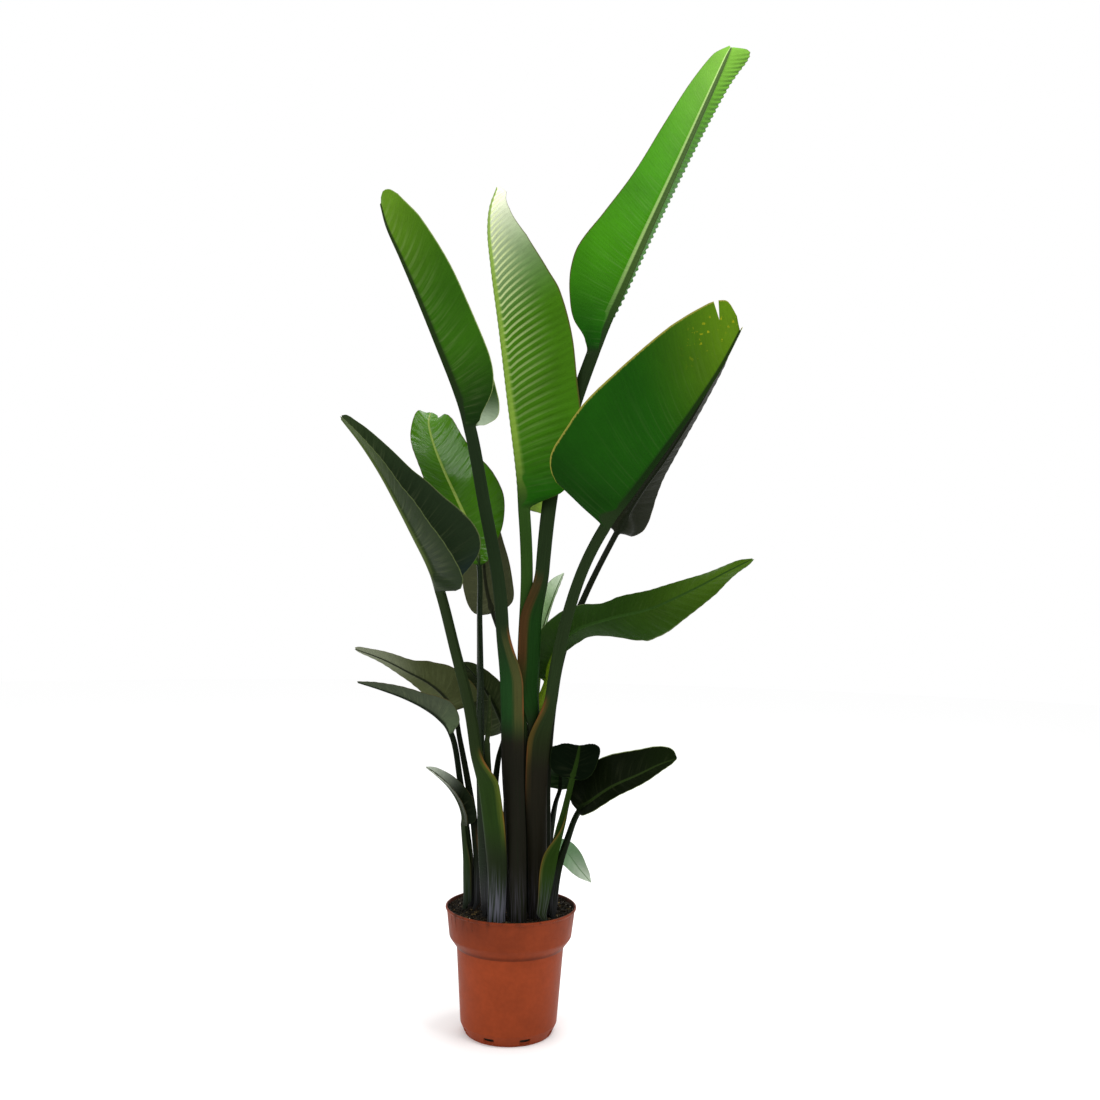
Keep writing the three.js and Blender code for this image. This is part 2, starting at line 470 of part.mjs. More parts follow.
// One section of a leaf: the upper side's points from edge to edge, then the underside's back
function leafSection(leaf, path, start, last, station) {
  const { q } = station;
  const columns = leaf.columns ?? COLUMNS;
  const place = path.getPoint(q / last);
  const ahead = path.getPoint(Math.min(q + TANGENT_STEP, last) / last);
  const behind = path.getPoint(Math.max(q - TANGENT_STEP, 0) / last);
  const along = ahead.sub(behind).normalize();
  const t = Math.max(0, (q - start) / (last - start));
  const inBlade = q > start;

  const [rootFace, baseFace, tipFace] = leaf.faces.map((v) => new THREE.Vector3(...v).normalize());
  const up = inBlade
    ? baseFace.clone().lerp(tipFace, t)
    : rootFace.clone().lerp(baseFace, ease(q, start * (leaf.turnStart ?? FACE_TURN_START), start));
  up.addScaledVector(along, -up.dot(along)).normalize();
  const side = new THREE.Vector3().crossVectors(along, up);

  const height = place.z;
  const [thick, slim] = leaf.stalkWidth;
  const stalkHalf = mix(thick, slim, ease(q, 1, start)) / 2;
  const { sheath } = leaf;
  const begun = sheath.begin ? ease(height, ...sheath.begin) : 1;
  const whole = inBlade || sheath === BARE ? 0 : begun * (1 - ease(height, sheath.whole, sheath.end));
  const risen = ease(height, COLLAR, sheath.whole);
  const [lowWrap, highWrap] = sheath.wrap.map(THREE.MathUtils.degToRad);
  const clasp = mix(sheath.radius[0] * lowWrap, sheath.radius[1] * highWrap, risen);
  const wrap = mix(lowWrap, highWrap, risen);
  const lean = mix(...(sheath.lean ?? UPRIGHT), risen);
  const halves = (sheath.halves ?? both(1)).map((share) => mix(1, share, risen));
  const round = inBlade || !leaf.footRadius ? 0 : 1 - ease(height, COLLAR, COLLAR + COLLAR_BLEND);
  const ribFade = inBlade ? ease(t, 0, RIB_FADE) : 0;
  const tipTaper = inBlade ? 1 - t : 1;

  const upper = [];
  const lower = [];
  for (let column = -columns; column <= columns; column++) {
    const hand = Math.sign(column);
    const which = column < 0 ? 0 : 1;
    let half = mix(stalkHalf, clasp * halves[which], whole);
    const stalkFold = mix(STALK_FOLD, leaf.fold[which][0], ease(q, 1, start));
    let fold = THREE.MathUtils.degToRad(mix(stalkFold, lean, whole));
    let curl = wrap * halves[which] * whole;
    if (inBlade) {
      const cut = station.notch && station.notch.side === hand ? 1 - station.notch.depth : 1;
      const neck = stalkHalf * (1 - t) * (1 - ease(t, 0, NECK));
      half = neck + leaf.wide[which] * through(leaf.shape[which], t) * cut;
      const [f0, f1, f2] = leaf.fold[which];
      fold = THREE.MathUtils.degToRad(through([[0, f0], [0.5, f1], [1, f2]], t));
      const [c0, c1, c2] = leaf.curl[which];
      curl = THREE.MathUtils.degToRad(through([[0, c0], [0.5, c1], [1, c2]], t));
    }
    const ribHalf = stalkHalf * mix(FIRST_COLUMN, 1, tipTaper);
    const ribShare = Math.min(FIRST_COLUMN, ribHalf / half);
    const first = inBlade ? mix(FIRST_COLUMN, ribShare, ribFade) : FIRST_COLUMN;
    const u = column === 0 ? 0 : mix(first, 1, (Math.abs(column) - 1) / (columns - 1));

    const turn = fold + curl * u;
    const bent = Math.abs(curl) > 1e-3;
    const outward = half * (bent ? (Math.sin(turn) - Math.sin(fold)) / curl : u * Math.cos(fold));
    const raised = half * (bent ? (Math.cos(fold) - Math.cos(turn)) / curl : u * Math.sin(fold));
    const normalOut = -Math.sin(turn) * hand;
    const normalUp = column === 0 ? 1 : Math.cos(turn);

    const baseBulge = mix(stalkHalf * STALK_DEPTH, SHEATH_BULGE, whole);
    const bulge = mix(baseBulge, TIP_RIB, t ** TIP_RIB_POWER);
    const reach = mix(1, first * RIB_EDGE, ribFade);
    const depth = bulge * Math.sqrt(Math.max(0, 1 - (u / reach) ** 2));
    const skin = inBlade ? mix(mix(STALK_SKIN, BLADE_MIDDLE, ribFade), BLADE_EDGE, u)
      : mix(STALK_SKIN, SHEATH_EDGE, u);

    let relief = 0;
    if (inBlade && leaf.ribs) {
      const innerTurn = Math.min(1, u * INNER_RIBS_STRETCH + INNER_RIBS_START);
      const outline = leaf.ribs.inner ? Math.sin(Math.PI * innerTurn) : u;
      const fade = ease(t, ...RIBS_RISE) * (1 - ease(t, ...RIBS_FALL));
      relief += station.ridge * leaf.ribs.height * leaf.ribs.sides[which] * outline * fade;
    }
    if (inBlade && leaf.wave) {
      const turns = leaf.wave.count * t + WAVE_START + WAVE_SHIFT * which;
      const fade = ease(t, ...WAVE_RISE) * (1 - ease(t, ...WAVE_FALL));
      relief += leaf.wave.height * Math.sin(2 * Math.PI * turns) * u * u * fade;
    }
    const lead = inBlade ? through((leaf.lead ?? both(RIB_LEAD))[which], t) * half * u ** RIB_SWEEP : 0;

    const skinOut = hand * outward + normalOut * relief;
    const skinUp = raised + normalUp * relief + bulge / 2;
    const top = [skinOut, skinUp];
    const bottom = [skinOut - normalOut * skin, skinUp - normalUp * skin - depth];

    const angle = u * ROOT_SPREAD;
    const circle = [hand * leaf.footRadius * Math.sin(angle), leaf.footRadius * Math.cos(angle)];
    const point = ([a, c], turnedOver) => place.clone()
      .addScaledVector(side, mix(a, circle[0], round))
      .addScaledVector(up, mix(c, turnedOver * circle[1], round))
      .addScaledVector(along, lead);
    upper.push(point(top, 1));
    lower.unshift(point(bottom, -1));
  }
  return [...upper, ...lower];
}

// Closed skin over a row of sections, split alike on both faces of the blade
function leafGeometry(leaf) {
  const [footX, footY] = leaf.foot;
  const keel = leaf.footRadius ? 0 : (leaf.sheath.radius[0] + SHEATH_BULGE / 2) * leaf.faces[0][0];
  const points = [[footX - keel, footY, ROOT_BOTTOM], [footX - keel, footY, COLLAR], ...leaf.stalk,
    ...leaf.blade];
  const knots = points.map((p) => new THREE.Vector3(...p));
  const path = new THREE.CatmullRomCurve3(knots, false, 'centripetal');
  const last = points.length - 1;
  const start = 2 + leaf.stalk.length;
  const sections = leafStations(leaf, start, last).map((s) => leafSection(leaf, path, start, last, s));

  const columns = leaf.columns ?? COLUMNS;
  const across = 2 * columns;
  const size = 2 * across + 2;
  const places = sections.flatMap((ring) => ring.flatMap((p) => p.toArray()));
  const index = [];
  const quad = (a, b, c, d, flip) => {
    if (flip) index.push(a, b, d, b, c, d);
    else index.push(a, b, c, a, c, d);
  };
  for (let i = 0; i + 1 < sections.length; i++) {
    const here = i * size;
    const next = here + size;
    for (let k = 0; k < across; k++) {
      quad(here + k, here + k + 1, next + k + 1, next + k, k >= columns);
      const under = size - 1 - k;
      quad(here + under, next + under, next + under - 1, here + under - 1, k < columns);
    }
    quad(here + across, here + across + 1, next + across + 1, next + across, false);
    quad(here + size - 1, here, next, next + size - 1, false);
  }
  const end = (sections.length - 1) * size;
  for (let k = 0; k < across; k++) {
    const under = size - 1 - k;
    quad(k, under, under - 1, k + 1, k >= columns);
    quad(end + k, end + k + 1, end + under - 1, end + under, k < columns);
  }
  const geometry = new THREE.BufferGeometry();
  geometry.setAttribute('position', new THREE.Float32BufferAttribute(places, 3));
  geometry.setIndex(index);
  geometry.computeVertexNormals();
  return geometry;
}

// Pot: base plate, bevel with drain slots, tapered body, shoulder, band and rim
function potGeometry() {
  const outside = [[0, 0], [BASE_RADIUS, 0], [BEVEL_RADIUS, BEVEL_TOP], [SHOULDER_RADIUS, SHOULDER_BOTTOM],
    [BAND_RADIUS - BAND_STEP, BAND_BOTTOM], [BAND_RADIUS, BAND_BOTTOM + BAND_RISE],
    [RIM_RADIUS - LIP_STEP, POT_HEIGHT - LIP], [RIM_RADIUS, POT_HEIGHT - LIP + LIP_EDGE],
    [RIM_RADIUS, POT_HEIGHT - LIP_EDGE], [RIM_RADIUS - LIP_EDGE, POT_HEIGHT]];
  const inside = [[RIM_RADIUS - WALL - LIP_EDGE, POT_HEIGHT], [RIM_RADIUS - 2 * WALL, POT_HEIGHT - LIP],
    [BAND_RADIUS - WALL, BAND_BOTTOM + BAND_RISE], [SHOULDER_RADIUS - WALL, SHOULDER_BOTTOM + 1],
    [BEVEL_RADIUS - WALL, BEVEL_TOP + 1], [BASE_RADIUS - WALL, BASE_THICKNESS], [0, BASE_THICKNESS]];
  const body = turned([...outside, ...inside], POT_SIDES);
  const slots = [];
  for (let i = 0; i < SLOT_COUNT; i++) {
    const slot = new THREE.BoxGeometry(SLOT_REACH, SLOT_WIDTH, SLOT_HEIGHT);
    slot.translate(BASE_RADIUS + SLOT_REACH / 2, 0, BASE_THICKNESS + SLOT_HEIGHT / 2 + SLOT_LIFT);
    slot.rotateZ(((i + 0.5) * 2 * Math.PI) / SLOT_COUNT);
    slots.push(slot);
  }
  return cutAway(body, slots);
}

// Soil: fills the pot, with a low crumbly mound and a plain round hole for each root
function soilGeometry() {
  const inset = WALL + CLEARANCE;
  const upTheBand = (SOIL_TOP - BAND_BOTTOM) / (POT_HEIGHT - BAND_BOTTOM);
  const topRadius = mix(BAND_RADIUS, RIM_RADIUS, upTheBand) - inset - SOIL_EDGE_GAP;
  const profile = [[0, BASE_THICKNESS + CLEARANCE], [BASE_RADIUS - inset - 1, BASE_THICKNESS + CLEARANCE],
    [BEVEL_RADIUS - inset, BEVEL_TOP + 2], [SHOULDER_RADIUS - inset, SHOULDER_BOTTOM + 2],
    [BAND_RADIUS - inset, BAND_BOTTOM + BAND_RISE], [topRadius, SOIL_TOP]];
  for (let i = 1; i <= SOIL_RINGS; i++) {
    const f = 1 - i / SOIL_RINGS;
    profile.push([topRadius * f, SOIL_TOP + SOIL_MOUND * (1 - f * f)]);
  }
  const geometry = turned(profile, POT_SIDES);
  const place = geometry.attributes.position;
  for (let i = 0; i < place.count; i++) {
    const [x, y, z] = [place.getX(i), place.getY(i), place.getZ(i)];
    const radius = Math.hypot(x, y);
    if (z >= SOIL_TOP && radius > 1 && radius < topRadius - 1) {
      const turn = 2 * Math.PI;
      const broad = Math.sin((turn * x) / BROAD_PITCH[0]) * Math.cos((turn * y) / BROAD_PITCH[1]);
      const fine = CRUMB_SHARE * Math.sin(turn * (x / FINE_PITCH[0] - y / FINE_PITCH[1]));
      place.setZ(i, z + CRUMB_HEIGHT * (broad + fine));
    }
  }
  const holes = LEAVES.filter((leaf) => !leaf.within).map(({ foot: [x, y], footRadius, sheath }) => {
    const depth = SOIL_TOP + 2 * SOIL_MOUND - HOLE_FLOOR;
    const clasp = sheath.radius[0] + STALK_SKIN + SHEATH_BULGE;
    const radius = (footRadius || clasp) + HOLE_CLEARANCE;
    const hole = new THREE.CylinderGeometry(radius, radius, depth, HOLE_SIDES);
    hole.rotateX(Math.PI / 2);
    hole.translate(x, y, HOLE_FLOOR + depth / 2);
    return hole;
  });
  return cutAway(geometry, holes);
}

const group = new THREE.Group();
group.name = 'potted_bird_of_paradise';
group.add(mesh('pot', potGeometry(), '#853b20', 0.55));
group.add(mesh('soil', soilGeometry(), '#1d1711', 0.95));
for (const leaf of LEAVES) {
  group.add(mesh(leaf.name, leafGeometry(leaf), leaf.colour, 0.45));
}

export default group;
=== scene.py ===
# %% [markdown]
# A potted bird of paradise
#
# The plant is nineteen long-stalked leaves in a round nursery pot of soil. Every leaf grew as
# one piece, so every leaf is one mesh here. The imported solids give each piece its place, and
# the finer pieces below stand in for them. Lengths in the tables are millimetres, as on a
# drawing, and MM turns them into Blender's metres.

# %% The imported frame
import json
import math
import random

import bmesh
import bpy
from mathutils import Matrix, Vector, noise


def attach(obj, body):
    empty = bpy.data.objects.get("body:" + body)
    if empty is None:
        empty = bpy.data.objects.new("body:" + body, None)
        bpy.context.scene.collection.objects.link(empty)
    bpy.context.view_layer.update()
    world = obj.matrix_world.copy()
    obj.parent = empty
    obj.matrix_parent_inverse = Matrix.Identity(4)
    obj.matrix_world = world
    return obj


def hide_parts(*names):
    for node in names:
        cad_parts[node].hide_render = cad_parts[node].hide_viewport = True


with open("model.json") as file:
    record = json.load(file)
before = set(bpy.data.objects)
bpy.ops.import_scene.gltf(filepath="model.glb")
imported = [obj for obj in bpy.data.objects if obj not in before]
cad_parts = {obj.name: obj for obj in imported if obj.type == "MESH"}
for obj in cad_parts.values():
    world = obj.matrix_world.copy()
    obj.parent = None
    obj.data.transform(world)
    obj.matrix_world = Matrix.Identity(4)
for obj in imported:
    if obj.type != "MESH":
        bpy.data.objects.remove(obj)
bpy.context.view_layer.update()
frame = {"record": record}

MM = 0.001

# %% [markdown]
# Camera
#
# The camera stands about two metres away and a little below the middle of the plant, tipped up
# a little and rolled a little, as one held in the hand is. Turning a matrix about two axes says
# that more plainly than three Euler angles.

# %% Camera
CAMERA_PLACE = (58 * MM, -2000 * MM, 775 * MM)
TIPPED_UP = 3.0
ROLL = 1.2
LENS = 35
SENSOR = 36

camera_data = bpy.data.cameras.new("camera")
camera_data.lens = LENS
camera_data.sensor_width = SENSOR
camera = bpy.data.objects.new("camera", camera_data)
level = Matrix.Rotation(math.radians(90 + TIPPED_UP), 4, "X")
camera.matrix_world = Matrix.Translation(CAMERA_PLACE) @ level @ Matrix.Rotation(math.radians(ROLL), 4, "Z")
bpy.context.collection.objects.link(camera)
bpy.context.scene.camera = camera
print("camera at", [round(v, 3) for v in camera.location])

# %% [markdown]
# Light
#
# A white room lights the plant evenly from all sides. A soft lamp high on the right models the
# blades, a weaker one fills from the left, and one behind draws their edges. A small lamp
# overhead is mirrored in the glossier blades as short glints.

# %% Light
def lamp(name, place, aim, width, power):
    """A square soft lamp that looks at a point."""
    data = bpy.data.lights.new(name, "AREA")
    data.shape = "SQUARE"
    data.size = width
    data.energy = power
    made = bpy.data.objects.new(name, data)
    made.location = place
    made.rotation_euler = (Vector(aim) - Vector(place)).to_track_quat("-Z", "Y").to_euler()
    bpy.context.collection.objects.link(made)


PLANT_MIDDLE = (0.05, -0.1, 1.0)
lamp("key_lamp", (0.9, -0.9, 2.85), PLANT_MIDDLE, width=0.8, power=34)
lamp("side_lamp", (-2.2, -0.9, 1.9), PLANT_MIDDLE, width=1.2, power=10)
lamp("back_lamp", (0.4, 2.2, 2.4), PLANT_MIDDLE, width=1.6, power=12)
lamp("top_lamp", (0.28, 0.25, 2.55), (-0.15, 0, 1.05), width=0.3, power=7)

room = bpy.data.worlds.new("white_room")
room.use_nodes = True
room.node_tree.nodes["Background"].inputs["Color"].default_value = (1, 1, 1, 1)
room.node_tree.nodes["Background"].inputs["Strength"].default_value = 1.0
bpy.context.scene.world = room
bpy.context.scene.view_settings.view_transform = "Standard"

# %% [markdown]
# Small helpers for materials
#
# A material is a graph of sockets. Writing it as Python sums keeps it readable, so one small
# class wraps a socket, and `+`, `-` and `*` on it add Math nodes. Every other node comes from
# one method.

# %% Socket sums
class Wire:
    """One output socket of a material's tree, with Python's signs as Math nodes."""

    def __init__(self, finish, socket):
        self.finish = finish
        self.socket = socket

    def maths(self, operation, *values):
        return self.finish.node("ShaderNodeMath", {"operation": operation}, dict(enumerate(values)))

    def __add__(self, other):
        return self.maths("ADD", self, other)

    def __sub__(self, other):
        return self.maths("SUBTRACT", self, other)

    def __rsub__(self, other):
        return self.maths("SUBTRACT", other, self)

    def __mul__(self, other):
        return self.maths("MULTIPLY", self, other)

    __radd__ = __add__
    __rmul__ = __mul__

    def __abs__(self):
        return self.maths("ABSOLUTE", self)

    def sine(self):
        return self.maths("SINE", self)

    def rise(self, low, high):
        """0 below low and 1 above high, or the other way round where low is the larger."""
        first, last = (0.0, 1.0) if low < high else (1.0, 0.0)
        edges = {"Value": self, "From Min": min(low, high), "From Max": max(low, high),
                 "To Min": first, "To Max": last}
        return self.finish.node("ShaderNodeMapRange", {"interpolation_type": "SMOOTHSTEP"}, edges)


# %% The finish class
class Finish:
    """A material whose nodes are made by one method."""

    def __init__(self, name):
        self.material = bpy.data.materials.new(name)
        self.material.use_nodes = True
        self.tree = self.material.node_tree
        self.shader = self.tree.nodes["Principled BSDF"]

    def node(self, kind, settings=None, sockets=None, out=0):
        made = self.tree.nodes.new(kind)
        for field, value in (settings or {}).items():
            setattr(made, field, value)
        for key, value in (sockets or {}).items():
            self.feed(made.inputs[key], value)
        return Wire(self, made.outputs[out])

    def feed(self, socket, value):
        if isinstance(value, Wire):
            self.tree.links.new(value.socket, socket)
        else:
            socket.default_value = value

    def place(self):
        return self.node("ShaderNodeTexCoord", out="Object")

    def part(self, name):
        """An attribute that was stored on the piece's points."""
        return self.node("ShaderNodeAttribute", {"attribute_name": name}, out="Fac")

    def vector(self, x, y, z):
        return self.node("ShaderNodeCombineXYZ", None, {"X": x, "Y": y, "Z": z})

    def height(self):
        return self.node("ShaderNodeSeparateXYZ", None, {"Vector": self.place()}, out="Z")

    def stretched(self, share):
        """The place with its height scaled, which turns round patches into upright streaks."""
        scaled = {0: self.place(), 1: (1, 1, share)}
        return self.node("ShaderNodeVectorMath", {"operation": "MULTIPLY"}, scaled)

    def radius(self):
        """Distance from the plant's upright axis."""
        flat = self.stretched(0.0)
        return self.node("ShaderNodeVectorMath", {"operation": "LENGTH"}, {0: flat}, out="Value")

    def cloud(self, where, scale, detail=3.0):
        """Soft random patches from 0 to 1."""
        return self.node("ShaderNodeTexNoise", None, {"Vector": where, "Scale": scale, "Detail": detail})

    def blend(self, share, first, second):
        """One colour turning into another."""
        return self.node("ShaderNodeMix", {"data_type": "RGBA"}, {0: share, 6: first, 7: second}, out=2)

    def shade(self, colour, amount):
        """A colour made lighter or darker."""
        return self.node("ShaderNodeVectorMath", {"operation": "SCALE"}, {0: colour, "Scale": amount})

    def finish(self, colour, roughness, relief, depth, shine):
        """Feeds the shader, with relief as a bump that is depth metres deep."""
        self.shader.inputs["Specular IOR Level"].default_value = shine
        self.feed(self.shader.inputs["Base Color"], colour)
        self.feed(self.shader.inputs["Roughness"], roughness)
        bump = self.node("ShaderNodeBump", None, {"Height": relief, "Distance": depth, "Strength": 1.0})
        self.feed(self.shader.inputs["Normal"], bump)
        return self.material


def paint(red, green, blue):
    """A colour as it is read off a screen, 0 to 255, as Blender's linear values."""
    linear = [((v / 255 + 0.055) / 1.055) ** 2.4 if v > 10 else v / 255 / 12.92 for v in (red, green, blue)]
    return (*linear, 1.0)


# %% [markdown]
# Small helpers for pieces
#
# A piece is a bmesh turned into an object that stands at the origin and rides on the body of
# the plant. Faces are smoothed, because nothing here is faceted.

# %% Pieces
def piece(bm, name, finish, slot, *nodes):
    """The object of a bmesh, riding on the plant and standing for the CAD nodes named."""
    for face in bm.faces:
        face.smooth = True
    mesh = bpy.data.meshes.new(name)
    bm.to_mesh(mesh)
    bm.free()
    mesh.materials.append(finish)
    made = bpy.data.objects.new(name, mesh)
    bpy.context.collection.objects.link(made)
    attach(made, "root")
    if nodes:
        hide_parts(*nodes)
    return made


def spun(profile, steps, rounding=0.0):
    """A closed wall, turned about the z axis from [radius, height] pairs in millimetres."""
    bm = bmesh.new()
    points = [bm.verts.new((r * MM, 0, z * MM)) for r, z in profile]
    for a, b in zip(points, points[1:]):
        bm.edges.new((a, b))
    if rounding:
        bmesh.ops.bevel(bm, geom=points[1:-1], offset=rounding * MM, offset_type="OFFSET",
                        affect="VERTICES", segments=2, profile=0.5, material=-1)
    bmesh.ops.spin(bm, geom=bm.verts[:] + bm.edges[:], cent=(0, 0, 0), axis=(0, 0, 1),
                   angle=2 * math.pi, steps=steps, use_merge=True)
    bmesh.ops.remove_doubles(bm, verts=bm.verts, dist=1e-6)
    bmesh.ops.recalc_face_normals(bm, faces=bm.faces)
    return bm


# %% [markdown]
# Floor
#
# The floor is a wide pale disc without any shine, so that it shows nothing but the soft shadow
# at the pot's foot. It isn't part of the plant.

# %% Floor
FLOOR_RADIUS = 9
FLOOR_WHITE = 0.985

floor_sheet = bmesh.new()
bmesh.ops.create_circle(floor_sheet, cap_ends=True, segments=64, radius=FLOOR_RADIUS)
floor_finish = Finish("pale_floor")
floor_finish.shader.inputs["Base Color"].default_value = (FLOOR_WHITE, FLOOR_WHITE, FLOOR_WHITE, 1)
floor_finish.shader.inputs["Roughness"].default_value = 1.0
floor_finish.shader.inputs["Specular IOR Level"].default_value = 0.0
floor_mesh = bpy.data.meshes.new("floor")
floor_sheet.to_mesh(floor_mesh)
floor_sheet.free()
floor_mesh.materials.append(floor_finish.material)
floor = bpy.data.objects.new("floor", floor_mesh)
bpy.context.collection.objects.link(floor)
print("floor radius in metres:", FLOOR_RADIUS)

# %% [markdown]
# Pot
#
# The pot is one injection-moulded shell: a tapered body, a shoulder, a wider band for gripping
# and a thin rolled rim. A lathe makes all of that in one go: draw half the wall as a line,
# round its corners, spin it. The drain slots in the bevelled foot are cut afterwards.

# %% Pot sizes
RIM_RADIUS = 120
POT_HEIGHT = 225
WALL = 2
BASE_THICKNESS = 3
BASE_RADIUS = 79
RECESS_INSIDE = 22
RECESS_OUTSIDE = 6
RECESS_SLOPE = 2
RECESS_DEPTH = 1.2
BEVEL_RADIUS = 88
BEVEL_TOP = 19
SHOULDER_RADIUS = 98
SHOULDER_BOTTOM = 153
BAND_RADIUS = 112
BAND_BOTTOM = 170
BAND_CORNER = 3
LIP = 4
LIP_STEP = 2.4
LIP_SLOPE = 2
LIP_CORNER = 0.4
EDGE = 1
POT_ROUNDING = 0.6
POT_STEPS = 120
SOIL_TOP = 212

# %% Half the wall
pot_outside = [
    (0, 0), (BASE_RADIUS - RECESS_INSIDE, 0), (BASE_RADIUS - RECESS_INSIDE + RECESS_SLOPE, RECESS_DEPTH),
    (BASE_RADIUS - RECESS_OUTSIDE - RECESS_SLOPE, RECESS_DEPTH), (BASE_RADIUS - RECESS_OUTSIDE, 0),
    (BASE_RADIUS, 0), (BEVEL_RADIUS, BEVEL_TOP), (SHOULDER_RADIUS, SHOULDER_BOTTOM),
    (BAND_RADIUS - BAND_CORNER / 2, BAND_BOTTOM), (BAND_RADIUS, BAND_BOTTOM + BAND_CORNER),
    (RIM_RADIUS - LIP_STEP, POT_HEIGHT - LIP - LIP_SLOPE), (RIM_RADIUS - LIP_CORNER, POT_HEIGHT - LIP),
    (RIM_RADIUS, POT_HEIGHT - LIP + EDGE), (RIM_RADIUS, POT_HEIGHT - EDGE), (RIM_RADIUS - EDGE, POT_HEIGHT)]
pot_inside = [
    (RIM_RADIUS - WALL - EDGE, POT_HEIGHT), (RIM_RADIUS - WALL - LIP_SLOPE, POT_HEIGHT - LIP),
    (BAND_RADIUS - WALL, BAND_BOTTOM + BAND_CORNER), (SHOULDER_RADIUS - WALL, SHOULDER_BOTTOM + EDGE),
    (BEVEL_RADIUS - WALL, BEVEL_TOP + EDGE), (BASE_RADIUS - WALL, BASE_THICKNESS), (0, BASE_THICKNESS)]
print("points in half the wall:", len(pot_outside) + len(pot_inside))

# %% [markdown]
# Terracotta-coloured plastic is an even colour. What gives it away as plastic is a satin sheen,
# a faint orange-peel grain and a slight cloudiness. From the shoulder up the colour is a little
# darker as painted shade, and a line of painted shade lies just above the body, where the
# shoulder starts. Damp soil has splashed below the rim and dried in soft streaks. Soil has
# stained the inner wall above the bed, which is also darkened there as painted shade. The inner
# wall is what lies inside a line that leans as the wall does.

# %% Colours and heights on the pot
TERRACOTTA = paint(134, 56, 26)
TERRACOTTA_MOTTLE_AND_SHADE = paint(92, 37, 18)
DRIED_SOIL_AND_SHADE = paint(46, 30, 20)
SHOULDER_SHADE_START = SHOULDER_BOTTOM - 1
SHOULDER_SHADE_END = SHOULDER_BOTTOM + 2
SHOULDER_SHADE_TOP = SHOULDER_BOTTOM + 11
SPLASH_BOTTOM = POT_HEIGHT - 40
SPLASH_TOP = POT_HEIGHT - 2
INNER_STAIN_AND_SHADE_BOTTOM = SOIL_TOP - 12
WALL_MIDDLE = 0.8
WALL_BLUR = 0.4
WALL_RUN = RIM_RADIUS - LIP_STEP - BAND_RADIUS
WALL_RISE = POT_HEIGHT - LIP - LIP_SLOPE - BAND_BOTTOM - BAND_CORNER


# %% Pot finish
def splashes_on(new, where, near_rim):
    """Specks and soft streaks of dried soil."""
    specks = new.cloud(where, 210.0, 2.0).rise(0.62, 0.7) * new.cloud(where, 24.0).rise(0.45, 0.6)
    streaks = new.cloud(new.stretched(0.12), 120.0, 4.0).rise(0.48, 0.75)
    return (specks + streaks * new.cloud(where, 18.0).rise(0.35, 0.65)) * near_rim


def stain_and_shade_inside(new, height):
    """Soil stain and painted shade on the inner wall, above the bed."""
    from_top = height - POT_HEIGHT * MM
    wall_middle = from_top * (WALL_RUN / WALL_RISE) + (RIM_RADIUS - WALL - WALL_MIDDLE) * MM
    inside = (new.radius() - wall_middle).rise(WALL_BLUR * MM, -WALL_BLUR * MM)
    return inside * height.rise(INNER_STAIN_AND_SHADE_BOTTOM * MM, SOIL_TOP * MM) * 0.75


def pot_finish():
    new = Finish("terracotta_plastic")
    where = new.place()
    height = new.height()
    # Painted shade: the pot is a little darker from the shoulder up, and darkest in a line just above the
    # body.
    band = height.rise(SHOULDER_SHADE_START * MM, SHOULDER_SHADE_END * MM)
    painted_shade_line = band * height.rise(SHOULDER_SHADE_TOP * MM, SHOULDER_SHADE_END * MM)
    cloudiness_and_shade = new.cloud(where, 9.0) * 0.7 + band * 0.18
    colour = new.blend(cloudiness_and_shade.rise(0.2, 0.85), TERRACOTTA, TERRACOTTA_MOTTLE_AND_SHADE)
    colour = new.shade(colour, new.cloud(where, 150.0, 4.0) * 0.3 + new.cloud(where, 30.0) * 0.3 + 0.72)
    near_rim = height.rise(SPLASH_BOTTOM * MM, SPLASH_TOP * MM)
    splashes = splashes_on(new, where, near_rim)
    film = new.cloud(where, 34.0).rise(0.5, 0.8) * near_rim * 0.35
    # Dried soil in the splashes and on the inner wall, where the same dark colour is also painted shade.
    dirt_and_inner_shade = film + splashes * 0.8 + stain_and_shade_inside(new, height)
    colour = new.blend(dirt_and_inner_shade, new.shade(colour, 1 - painted_shade_line * 0.45), DRIED_SOIL_AND_SHADE)
    rough = new.cloud(where, 60.0) * 0.2 + 0.36 + splashes * 0.3
    grain = new.cloud(where, 900.0, 2.0) * 0.4 + splashes + new.cloud(where, 40.0) * 0.5
    return new.finish(colour, rough, grain, depth=0.35 * MM, shine=0.07)


# %% [markdown]
# A drain slot is a hole, and a Boolean cuts it from the spun wall. All the cutters stand in one
# mesh, so one Boolean is enough, and its result is kept as a plain mesh.

# %% Slot cutters
SLOT_COUNT = 8
SLOT_WIDTH = 20
SLOT_HEIGHT = 10
SLOT_REACH = 12
SLOT_LIFT = 0.5
SLOT_ROUNDING = 2


def slot_cutters():
    """Blocks that stand round the pot's foot."""
    bm = bmesh.new()
    for i in range(SLOT_COUNT):
        turn = Matrix.Rotation((i + 0.5) * 2 * math.pi / SLOT_COUNT, 4, "Z")
        middle = BASE_THICKNESS + SLOT_HEIGHT / 2 + SLOT_LIFT
        place = Matrix.Translation(((BASE_RADIUS + SLOT_REACH / 2) * MM, 0, middle * MM))
        size = Matrix.Diagonal((SLOT_REACH * MM, SLOT_WIDTH * MM, SLOT_HEIGHT * MM, 1))
        made = bmesh.ops.create_cube(bm, size=1, matrix=turn @ place @ size)
        edges = {edge for vert in made["verts"] for edge in vert.link_edges}
        bmesh.ops.bevel(bm, geom=list(edges), offset=SLOT_ROUNDING * MM, offset_type="OFFSET",
                        affect="EDGES", segments=3, profile=0.5, material=-1)
    mesh = bpy.data.meshes.new("slots")
    bm.to_mesh(mesh)
    bm.free()
    cutter = bpy.data.objects.new("slots", mesh)
    bpy.context.collection.objects.link(cutter)
    return cutter


